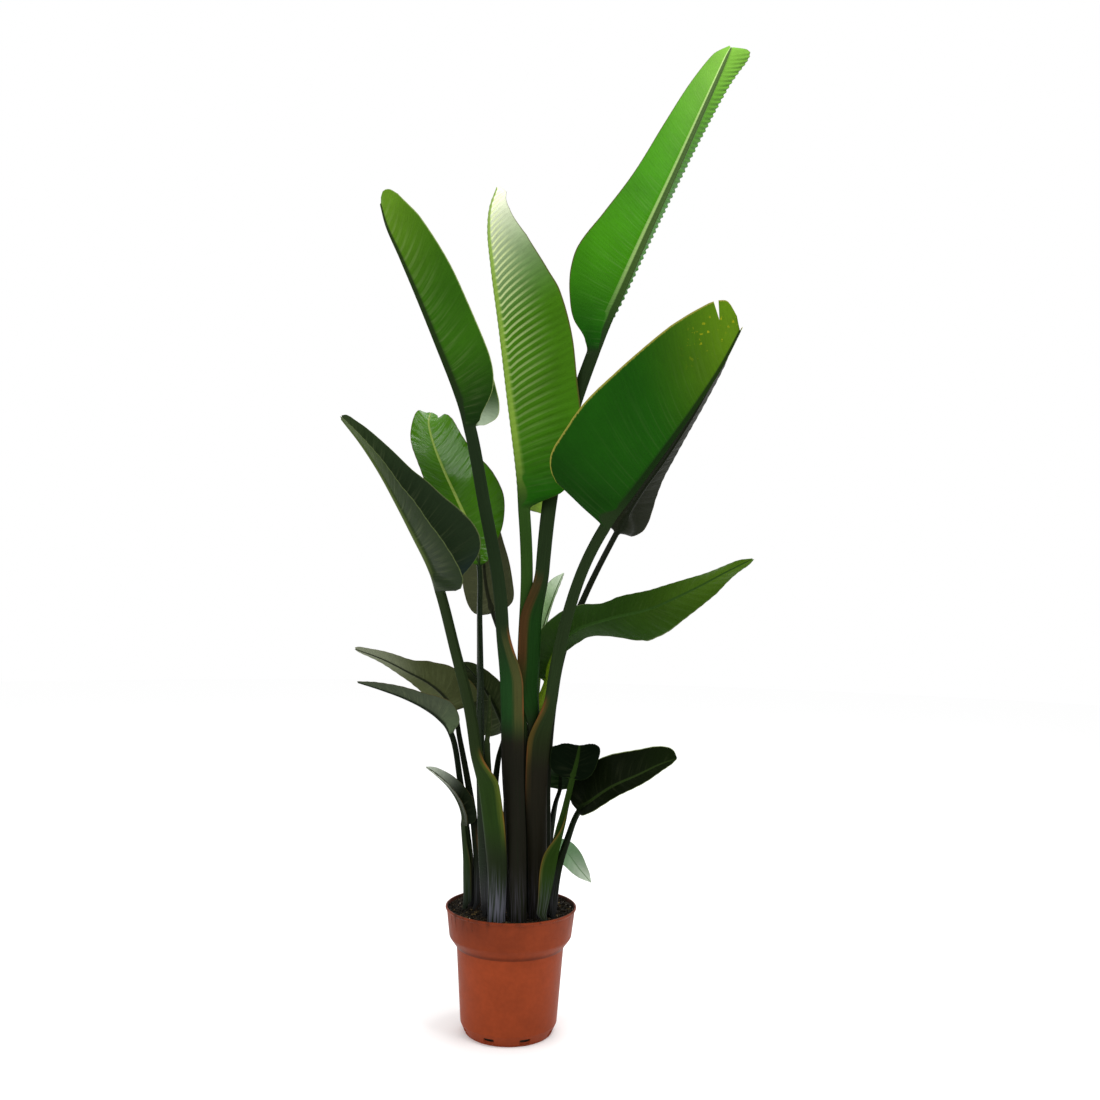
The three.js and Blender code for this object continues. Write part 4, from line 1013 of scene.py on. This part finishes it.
LEAVES["leaf_behind_right"] = dict(
    foot=(66, -38), foot_radius=5.5, stalk_width=(12, 9),
    stalk=[(64, -36, 330), (62, -28, 495), (84, -10, 680), (126, -4, 795)],
    blade=[(180, -42, 910), (215, -68, 975), (263, -100, 1045), (308, -130, 1120), (345, -155, 1190),
           (362, -168, 1228)],
    faces=[(-1, 0, 0), (-0.35, 0.85, 0.4), (-0.5, 0.7, 0.5)],
    wide=(58, 66), shape=(STRAP, PADDLE), fold=[(0, 24, 30), (30, 38, 30)], curl=[(10, 10, 0), (0, 0, 0)])

# %% Middle leaves
LEAVES["leaf_front_left"] = dict(
    foot=(-21, -82), foot_radius=0, stalk_width=(18, 13),
    stalk=[(-37, -86, 300), (-48, -95, 400), (-64, -103, 500), (-79, -113, 590), (-105, -140, 695)],
    blade=[(-130, -175, 795), (-146, -190, 838), (-172, -212, 890), (-198, -230, 940),
           (-226, -245, 990), (-256, -260, 1035), (-286, -270, 1072)],
    faces=[(1, 0, 0), (0.82, -0.49, 0.29), (0.8, -0.4, 0.4)],
    wide=(92, 96), shape=(LOBED, SLOPED), lead=(SQUARE_LEAD, SQUARE_LEAD), fold=[(53, 53, 40)] * 2,
    curl=[(14, 6, 0)] * 2,
    sheath=dict(radius=(13, 47), wrap=(160, 45), lean=(4, 52), halves=(1, 0.5), whole=452, end=525))
LEAVES["leaf_behind_left"] = dict(
    foot=(-44, -54), foot_radius=5.5, stalk_width=(12, 9),
    stalk=[(-52, -60, 335), (-59, -70, 495), (-62, -70, 605), (-68, -56, 745)],
    blade=[(-72, -40, 845), (-88, -28, 905), (-116, -16, 965), (-145, -4, 1024), (-168, 12, 1078),
           (-180, 34, 1120), (-180, 62, 1145)],
    faces=[(1, 0, 0), (0.3, -0.85, 0.4), (0.3, -0.6, 0.75)],
    wide=(62, 88), shape=(PADDLE, LATE), fold=[(24, 14, 4), (12, 6, 0)], curl=[(0, -12, -15), (0, 0, 0)],
    wave=(6, 2.5), notches=[(1, 0.9, 0.3)])
LEAVES["leaf_back_left"] = dict(
    foot=(0, -48), foot_radius=5.5, stalk_width=(11, 8),
    stalk=[(-8, -38, 320), (-12, -25, 490), (-17, -10, 620), (-26, 0, 700)],
    blade=[(-47, 10, 760), (-60, 15, 805), (-68, 25, 860), (-73, 40, 920), (-80, 62, 965)],
    faces=[(1, 0, 0), (0.1, 0.95, -0.2), (0.1, 0.95, -0.2)],
    wide=(52, 46), shape=(PADDLE, PADDLE), fold=[(20, 15, 10)] * 2, curl=[(0, -10, 0)] * 2)
LEAVES["leaf_middle_right"] = dict(
    foot=(28, -30), foot_radius=5.5, stalk_width=(13, 11),
    stalk=[(28, -34, 330), (27, -36, 440), (28, -36, 542)],
    blade=[(60, -38, 634), (74, -44, 689), (108, -54, 728), (168, -62, 752), (240, -70, 772),
           (315, -78, 808), (372, -84, 840), (420, -88, 866)],
    faces=[(-1, 0, 0), (-0.5, -0.5, 0.7), (-0.15, -0.75, 0.65)],
    wide=(60, 80), shape=(DIPPED, CLIPPED), fold=[(30, 18, 10), (20, 4, 6)],
    curl=[(-20, -10, 0), (-10, -8, 0)], wave=(7, 2))
LEAVES["leaf_young_back"] = dict(
    foot=(40, -4), foot_radius=4.5, stalk_width=(8, 6),
    stalk=[(38, 2, 330), (36, 10, 520), (42, 18, 650)],
    blade=[(49, 22, 722), (55, 28, 750), (63, 34, 778), (73, 42, 808), (85, 52, 838)],
    faces=[(-1, 0, 0), (-0.6, -0.7, 0.3), (-0.6, -0.7, 0.3)],
    wide=(26, 24), shape=(LANCE, LANCE), fold=[(45, 40, 30)] * 2, curl=[(20, 0, 0)] * 2)

# %% Low leaves on the left
LEAVES["leaf_lower_left_high"] = dict(
    foot=(-64, -14), foot_radius=5.5, stalk_width=(11, 7),
    stalk=[(-66, -12, 300), (-72, -8, 380), (-86, 0, 450), (-103, 5, 525)],
    blade=[(-115, 10, 575), (-135, 14, 603), (-165, 20, 626), (-205, 22, 646), (-252, 26, 668),
           (-305, 30, 686)],
    faces=[(1, 0, 0), (0.35, 0.85, 0.4), (0.2, 0.8, 0.55)],
    wide=(60, 50), shape=(LOBED, LOBED), fold=[(15, 12, 10)] * 2, curl=[(0, -8, 0)] * 2,
    sheath=dict(radius=(7, 7), wrap=(110, 110), whole=290, end=370))
LEAVES["leaf_lower_left"] = dict(
    foot=(-72, 12), foot_radius=5.5, stalk_width=(11, 7),
    stalk=[(-79, 10, 300), (-89, 3, 380), (-99, -9, 450)],
    blade=[(-115, -42, 540), (-136, -55, 568), (-162, -62, 587), (-198, -70, 605), (-240, -76, 620),
           (-280, -80, 632)],
    faces=[(1, 0, 0), (0.45, 0.3, 0.85), (0.1, 0.5, 0.85)],
    wide=(44, 42), shape=(SHOULDERED, SHOULDERED), fold=[(30, 30, 20)] * 2, curl=[(10, 0, 0)] * 2)
LEAVES["leaf_middle_left"] = dict(
    foot=(-22, -44), foot_radius=5, stalk_width=(10, 7),
    stalk=[(-30, -30, 290), (-35, -20, 415), (-30, -10, 490)],
    blade=[(-20, 0, 540), (-32, 6, 572), (-50, 13, 605), (-74, 22, 637), (-102, 34, 665)],
    faces=[(1, 0, 0), (0.5, 0.75, 0.3), (0.5, 0.75, 0.3)],
    wide=(38, 64), shape=(PADDLE, PADDLE), fold=[(25, 20, 10), (5, 0, 0)], curl=[(0, -10, 0)] * 2)
LEAVES["leaf_low_left"] = dict(
    foot=(-84, -6), foot_radius=5.5, stalk_width=(12, 9),
    stalk=[(-86, -8, 290), (-87, -10, 335)],
    blade=[(-90, -16, 372), (-92, -20, 392), (-101, -25, 417), (-118, -28, 442), (-140, -27, 462),
           (-160, -24, 476)],
    faces=[(1, 0, 0), (0.7, -0.55, 0.3), (0.5, -0.5, 0.7)],
    wide=(22, 24), shape=(PADDLE, PADDLE), fold=[(45, 45, 30)] * 2, curl=[(20, 10, 0)] * 2,
    sheath=dict(radius=(7.5, 7.5), wrap=(110, 110), whole=300, end=355))

# %% Low leaves on the right, and the rolled one
LEAVES["leaf_low_right"] = dict(
    foot=(76, -54), foot_radius=5.5, stalk_width=(11, 8),
    stalk=[(84, -58, 300), (99, -64, 354)],
    blade=[(120, -70, 410), (142, -78, 430), (176, -90, 457), (222, -104, 482), (258, -112, 502),
           (286, -120, 514)],
    faces=[(-1, 0, 0), (-0.5, -0.65, 0.6), (-0.3, -0.75, 0.6)],
    wide=(60, 32), shape=(PADDLE, PADDLE), fold=[(18, 10, 6), (24, 14, 8)], curl=[(0, -8, 0)] * 2)
LEAVES["leaf_low_right_sheathed"] = dict(
    foot=(60, -81), foot_radius=7, stalk_width=(14, 10),
    stalk=[(69, -87, 270), (82, -92, 345), (93, -92, 405)],
    blade=[(107, -82, 468), (112, -72, 486), (116, -48, 499), (119, -8, 507), (121, 32, 510),
           (122, 68, 509)],
    faces=[(-1, 0, 0), (-0.15, -0.75, 0.6), (0, -0.15, 1)],
    wide=(50, 44), shape=(PADDLE, PADDLE), fold=[(26, 14, 8)] * 2, curl=[(0, 0, 0)] * 2,
    sheath=dict(radius=(8, 32), wrap=(118, 50), lean=(4, 46), halves=(0.4, 1), whole=330, end=425))
LEAVES["leaf_low_right_back"] = dict(
    foot=(62, -14), foot_radius=5, stalk_width=(9, 7),
    stalk=[(65, -15, 300), (71, -17, 366), (79, -15, 415)],
    blade=[(86, -10, 438), (86, 2, 460), (78, 20, 478), (64, 44, 490), (46, 72, 494)],
    faces=[(-1, 0, 0), (-0.2, -0.85, 0.4), (-0.2, -0.3, 0.9)],
    wide=(36, 38), shape=(PADDLE, PADDLE), fold=[(25, 18, 10)] * 2, curl=[(0, 0, 0)] * 2)
LEAVES["leaf_low_back"] = dict(
    foot=(26, 24), foot_radius=4.5, stalk_width=(8, 5), stalk=[(38, 32, 290)],
    blade=[(66, 52, 322), (86, 62, 318), (107, 72, 299), (128, 81, 272), (150, 90, 246)],
    faces=[(-1, -0.3, 0), (-0.3, -0.75, 0.6), (-0.5, -0.75, 0.4)],
    wide=(21, 20), shape=(LANCE, LANCE), fold=[(14, 8, 6)] * 2, curl=[(0, 0, 0)] * 2)
LEAVES["leaf_spear"] = dict(
    foot=(-21, -82), foot_radius=4, stalk_width=(7, 7),
    stalk=[(-22, -85, 300), (-32, -94, 400), (-43, -101, 490)],
    blade=[(-46, -100, 530), (-46, -96, 560), (-45, -91, 590), (-44, -86, 615)],
    faces=[(1, 0, 0), (1, 0, 0), (1, 0, 0)],
    wide=(5, 5), shape=(LANCE, LANCE), fold=[(50, 50, 50)] * 2, curl=[(60, 60, 60)] * 2)
print("leaves:", len(LEAVES))

# %% [markdown]
# Finish of a leaf
#
# Every leaf has the same build of finish, with its own colours. The attributes carry the
# pattern: fine veins and pleats follow the distance along the midrib, streaks run up the
# stalks, the midrib is a line at the middle, and the margin a thin dry line at the edge. A
# sheath is green on its keel and papery towards its margin, where it dries first, and all of
# them darken to nearly black towards the foot as painted shade, under a whitish bloom. Living
# leaf is duller than it looks, so the shine is low, and only the lamps show in it.
#
# A look names the colours of the underside (base, under, tip), of the upper side (upper_base,
# upper, upper_tip), of the midrib and its stalk (rib, stalk), of the sheath and its papery
# margin (sheath, paper), of the foot in its painted shade (root) and of the blade's edge. band
# is where across the sheath the papery margin starts, and dark the two heights between which
# painted shade darkens the stalk. ridge is how wide the midrib's line is, and one more number
# how strong the painted sheen line beside it. The other numbers say how strong the rust, the
# bloom, the painted highlights on the rib crests, the flecks, the veins and the furrows are,
# and how rough and shiny the skin is.

# %% Colours that the leaves share
YELLOW_EDGE = paint(150, 142, 60)
BROWN_EDGE = paint(70, 60, 26)
RUST_EDGE = paint(132, 66, 34)
PALE_EDGE = paint(136, 150, 92)
DULL_EDGE = paint(84, 96, 56)
DARK_EDGE = paint(26, 36, 16)
BLOOM = paint(118, 116, 134)
CREAM = paint(206, 218, 156)
FLECK = paint(172, 164, 24)


def look(under, upper, stalk, **others):
    """Colours and strengths of one leaf, with the usual ones where none is given."""
    colours = dict(under=under, tip=under, base=under, upper=upper, upper_base=upper, upper_tip=upper,
                   stalk=stalk, rib=stalk, sheath=stalk, root=(20, 22, 15), paper=(84, 62, 30))
    rest = dict(edge=BROWN_EDGE, band=0.85, rust=0.5, bloom=0.25, rough=0.45, shine=0.04, pale=0.0,
                flecks=0.0, veins=0.05, furrows=1.0, dark=(330, 230), ridge=(1.15, 0.8), line=0.0)
    for name, value in others.items():
        kind = colours if name in colours else rest
        kind[name] = value
    painted = {name: paint(*value) for name, value in colours.items()}
    return {**painted, **rest}


# %% Looks of the tall leaves
LOOKS = {
    # The top right leaf's lighter tip is painted sheen, and so is the pale line beside its midrib.
    "leaf_top_right": look((50, 112, 4), (40, 84, 12), (26, 40, 17), tip=(98, 144, 48), base=(12, 62, 2),
                           rib=(30, 54, 10), sheath=(17, 47, 10), root=(22, 20, 13), paper=(66, 42, 20),
                           band=0.62, rough=0.42, veins=0.03, dark=(610, 540), ridge=(0.95, 0.75),
                           line=0.3),
    # The pale upper side at this leaf's base is a painted highlight.
    "leaf_upper_left": look((42, 84, 9), (34, 62, 14), (26, 40, 20), tip=(86, 126, 24), base=(18, 42, 8),
                            upper_base=(150, 166, 140), rib=(22, 34, 12), sheath=(24, 56, 22),
                            root=(22, 21, 14), paper=(66, 66, 34), band=0.58, dark=(590, 525), pale=0.04,
                            edge=PALE_EDGE, rough=0.42),
    # This leaf's near-white tip is painted light shining through it, and the bright yellow-green at the
    # base of its upper side is its own colour made lighter by painted sheen.
    "leaf_centre": look((54, 98, 8), (60, 102, 14), (36, 62, 18), tip=(240, 244, 216), base=(20, 72, 2),
                        upper_base=(128, 162, 52), rib=(112, 142, 50), root=(22, 22, 14), pale=0.7,
                        rough=0.48, veins=0.03, dark=(600, 520)),
    "leaf_front_right": look((20, 70, 3), (14, 38, 6), (31, 45, 21), tip=(84, 120, 14), base=(14, 54, 3),
                             rib=(14, 32, 6), sheath=(28, 38, 14), root=(23, 21, 13),
                             paper=(78, 62, 24), band=0.82, edge=YELLOW_EDGE, rough=0.46, flecks=1.0,
                             veins=0.015, dark=(570, 470)),
    "leaf_behind_right": look((24, 28, 15), (30, 36, 18), (18, 24, 10), shine=0.06, rough=0.3, furrows=6.0,
                              veins=0.0),
    # The bluish tint at the base of this leaf's upper side is a painted reflection.
    "leaf_front_left": look((30, 44, 17), (32, 46, 26), (30, 42, 18), tip=(62, 78, 36), base=(22, 36, 12),
                            upper_base=(28, 40, 40), upper_tip=(40, 54, 28),
                            rib=(70, 84, 40), sheath=(31, 50, 15), root=(26, 34, 17), paper=(70, 82, 26),
                            band=0.82, bloom=0.9, edge=DULL_EDGE, rough=0.32, shine=0.03, veins=0.05,
                            furrows=3.0, dark=(400, 320)),
    "leaf_behind_left": look((48, 80, 3), (46, 88, 3), (20, 32, 14), upper_tip=(62, 110, 0),
                             rib=(122, 142, 62), rough=0.15, shine=0.1, veins=0.02, furrows=8.0),
    "leaf_back_left": look((68, 72, 47), (52, 64, 30), (20, 24, 12), base=(62, 66, 43)),
    "leaf_middle_right": look((32, 54, 10), (26, 50, 6), (92, 118, 14), tip=(62, 90, 16),
                              upper_tip=(60, 88, 14), rib=(36, 62, 18), root=(20, 26, 12),
                              edge=DULL_EDGE, rough=0.34, shine=0.04, veins=0.01, furrows=3.0,
                              dark=(605, 555)),
    "leaf_young_back": look((116, 144, 100), (124, 152, 106), (58, 84, 30), tip=(190, 206, 180),
                            upper_tip=(190, 206, 180)),
}

# %% Looks of the low leaves
LOOKS.update({
    "leaf_lower_left_high": look((64, 70, 40), (44, 56, 28), (18, 24, 12), tip=(120, 126, 104)),
    "leaf_lower_left": look((58, 66, 50), (40, 50, 34), (18, 26, 14), base=(74, 88, 62),
                            upper_base=(56, 70, 46), upper_tip=(130, 140, 118)),
    "leaf_middle_left": look((36, 46, 20), (32, 42, 18), (18, 26, 10)),
    "leaf_low_left": look((30, 38, 20), (24, 34, 16), (28, 40, 18), tip=(190, 200, 182),
                          upper_tip=(190, 200, 182), sheath=(30, 44, 18), root=(26, 36, 18),
                          paper=(40, 52, 24), rust=0.1, dark=(270, 210)),
    "leaf_low_right": look((16, 26, 8), (10, 16, 5), (14, 22, 8), upper_tip=(14, 24, 5), rib=(34, 48, 18),
                           edge=PALE_EDGE, rough=0.3, shine=0.015, veins=0.01, furrows=4.0),
    "leaf_low_right_sheathed": look((14, 22, 12), (8, 15, 7), (32, 50, 16), sheath=(30, 48, 14),
                                    root=(30, 40, 18), paper=(60, 66, 26), band=0.86, rust=0.2, bloom=0.3,
                                    edge=DARK_EDGE, rough=0.55, shine=0.0, veins=0.01, dark=(310, 235)),
    "leaf_low_right_back": look((18, 32, 12), (28, 48, 22), (14, 22, 8), rough=0.3, shine=0.04),
    "leaf_low_back": look((94, 126, 88), (104, 136, 98), (44, 68, 28), upper_tip=(196, 212, 190),
                          tip=(196, 212, 190), rib=(112, 142, 104)),
    "leaf_spear": look((30, 40, 16), (30, 40, 16), (28, 38, 16)),
})
print("looks:", len(LOOKS))

# %% [markdown]
# The blade's finish starts with three colours from base to tip, on each face. Noise stretched
# along the side ribs makes them uneven, the crests of the pleats get painted highlights, and
# midrib and margin are drawn over them.

# %% Finish of a blade
VEIN_PITCH = 2.1
TAU = 2 * math.pi
DRY_EDGE = (0.972, 0.99)


def blade_colour(new, colours, marks):
    """Colour of the blade, from its base to its tip."""
    along, share, fibres = marks["along"], marks["share"], marks["fibres"]
    below = new.blend(along.rise(0.0, 0.3), colours["base"], colours["under"])
    below = new.blend(along.rise(0.4, 1.0), below, colours["tip"])
    above = new.blend(along.rise(0.02, 0.16), colours["upper_base"], colours["upper"])
    above = new.blend(along.rise(0.4, 1.0), above, colours["upper_tip"])
    face = new.blend(marks["under"], above, below)
    face = new.shade(face, marks["patches"] * 0.6 + fibres * 0.35 + marks["veins"] * 0.06 + 0.5)
    face = new.blend(marks["lines"] * share.rise(1.0, 0.1) * colours["veins"], face, CREAM)
    # Painted highlight on the crests of the pleats.
    pale_ribs = marks["crest"] * share.rise(0.8, 0.1) * along.rise(0.12, 0.65) * colours["pale"]
    face = new.blend(pale_ribs, face, CREAM)
    if colours["flecks"]:
        fleck = new.cloud(marks["place"], 150.0, 2.0).rise(0.62, 0.66) * share.rise(0.3, 0.6)
        face = new.blend(fleck * share.rise(0.95, 0.7) * along.rise(0.6, 0.8) * 0.6, face, FLECK)
    midrib = new.blend(along.rise(0.0, 0.25), colours["stalk"], colours["rib"])
    # Painted sheen: a pale line beside the midrib.
    if colours["line"]:
        face = new.blend(marks["rod"].rise(1.2, 1.0) * along.rise(0.05, 0.3) * colours["line"], face, CREAM)
    face = new.blend(marks["rod"].rise(*colours["ridge"]) * 0.9, face, midrib)
    dry = (share + (fibres - 0.5) * 0.03).rise(*DRY_EDGE)
    return new.blend(dry * 0.8, face, colours["edge"])


# %% [markdown]
# The stalk's finish changes with height: green above, then the papery margin of the sheath with
# its rusty edge, then nearly black as painted shade, in which paper and rust fade, and white
# bloom just above the soil. The streaks that run up it make each change uneven. A leaf without
# a sheath changes where a short one would end.

# %% Finish of a stalk
SHORT_SHEATH = dict(whole=250, end=330)
PAPER_RANGE = (130, 40)
PAPER_END = (5, -35)
BLOOM_HEIGHTS = (330, 235)


def stalk_colour(new, leaf, colours, marks):
    """Colour of the stalk and of the sheath below it."""
    height, share, streaks, patches = (marks[name] for name in ("height", "share", "streaks", "patches"))
    whole, end = (leaf.get("sheath", SHORT_SHEATH)[name] for name in ("whole", "end"))
    upward = height.rise(whole * MM, end * MM)
    colour = new.blend(upward, colours["sheath"], colours["stalk"])
    # Painted shade: the stalk darkens towards the soil to its root colour, and the paper and rust fade in
    # it.
    painted_foot_shade = height.rise(*(level * MM for level in colours["dark"]))
    colour = new.blend(painted_foot_shade * (streaks * 0.4 + 0.8), colour, colours["root"])
    lit = 1 - painted_foot_shade * 0.75
    if "sheath" in leaf:
        low_end, full = ((whole - drop) * MM for drop in PAPER_RANGE)
        gone, still = ((end + past) * MM for past in PAPER_END)
        high = height.rise(low_end, full) * height.rise(gone, still)
        band = (share + (streaks - 0.5) * 0.2).rise(colours["band"] - 0.1, colours["band"] + 0.12)
        colour = new.blend(band * high * lit * (1 - upward * 0.5) * 0.9, colour, colours["paper"])
        rust = share.rise(0.93, 0.99) * high * patches.rise(0.35, 0.6)
        colour = new.blend(rust * lit * colours["rust"], colour, RUST_EDGE)
    colour = new.shade(colour, streaks * 0.8 + patches * 0.3 + 0.45)
    low = height.rise(*(level * MM for level in BLOOM_HEIGHTS))
    bloom = low * streaks.rise(0.42, 0.62) * colours["bloom"]
    return new.blend(bloom * 0.5, colour, BLOOM)


# %% Finish of a leaf
def leaf_finish(name, leaf, colours):
    new = Finish(name + "_skin")
    where = new.place()
    across, under, run = new.part("across"), new.part("under"), new.part("run")
    pitch = leaf.get("ribs", PLAIN_RIBS)[0] * MM
    marks = dict(
        place=where, height=new.height(), share=abs(across), under=under, rod=new.part("rod"),
        along=new.part("along"), veins=(run * (TAU / (VEIN_PITCH * MM))).sine() * 0.5 + 0.5,
        crest=((run * (TAU / pitch)).sine() * 0.5 + 0.5).rise(0.45, 1.0),
        fibres=new.cloud(new.vector(run * 330, across * 5, under * 3), 1.0, 3.0),
        lines=new.cloud(new.vector(run * 240, across * 0.7, under * 3), 1.0, 2.0).rise(0.5, 0.72),
        furrows=new.cloud(new.vector(run * 110, across * 1.2, under * 3), 1.0, 1.0),
        patches=new.cloud(where, 11.0, 4.0),
        streaks=new.cloud(new.vector(across * 9, run * 7, under * 5), 1.6, 4.0))
    blade = marks["along"].rise(0.0, 0.025)
    colour = new.blend(blade, stalk_colour(new, leaf, colours, marks), blade_colour(new, colours, marks))
    rough = marks["fibres"] * 0.16 + marks["patches"] * 0.1 + colours["rough"] - 0.12 + (1 - blade) * 0.1
    relief = (marks["veins"] * blade * 0.35 + marks["crest"] * blade * 0.5 + marks["fibres"] * 0.4
              + marks["furrows"] * blade * colours["furrows"] + marks["streaks"] * (1 - blade) * 1.4)
    return new.finish(colour, rough, relief, depth=0.3 * MM, shine=colours["shine"])


# %% [markdown]
# The leaves themselves
#
# Each leaf stands for its imported solid.

# %% Make the leaves
SLOTS = {part["node"]: part["material_slot"] for part in frame["record"]["subparts"]}
for node_name, leaf in LEAVES.items():
    finish = leaf_finish(node_name, leaf, LOOKS[node_name])
    made = piece(leaf_mesh(leaf), node_name + "_fine", finish, SLOTS[node_name], node_name)
    print(made.name, len(made.data.polygons), "faces")
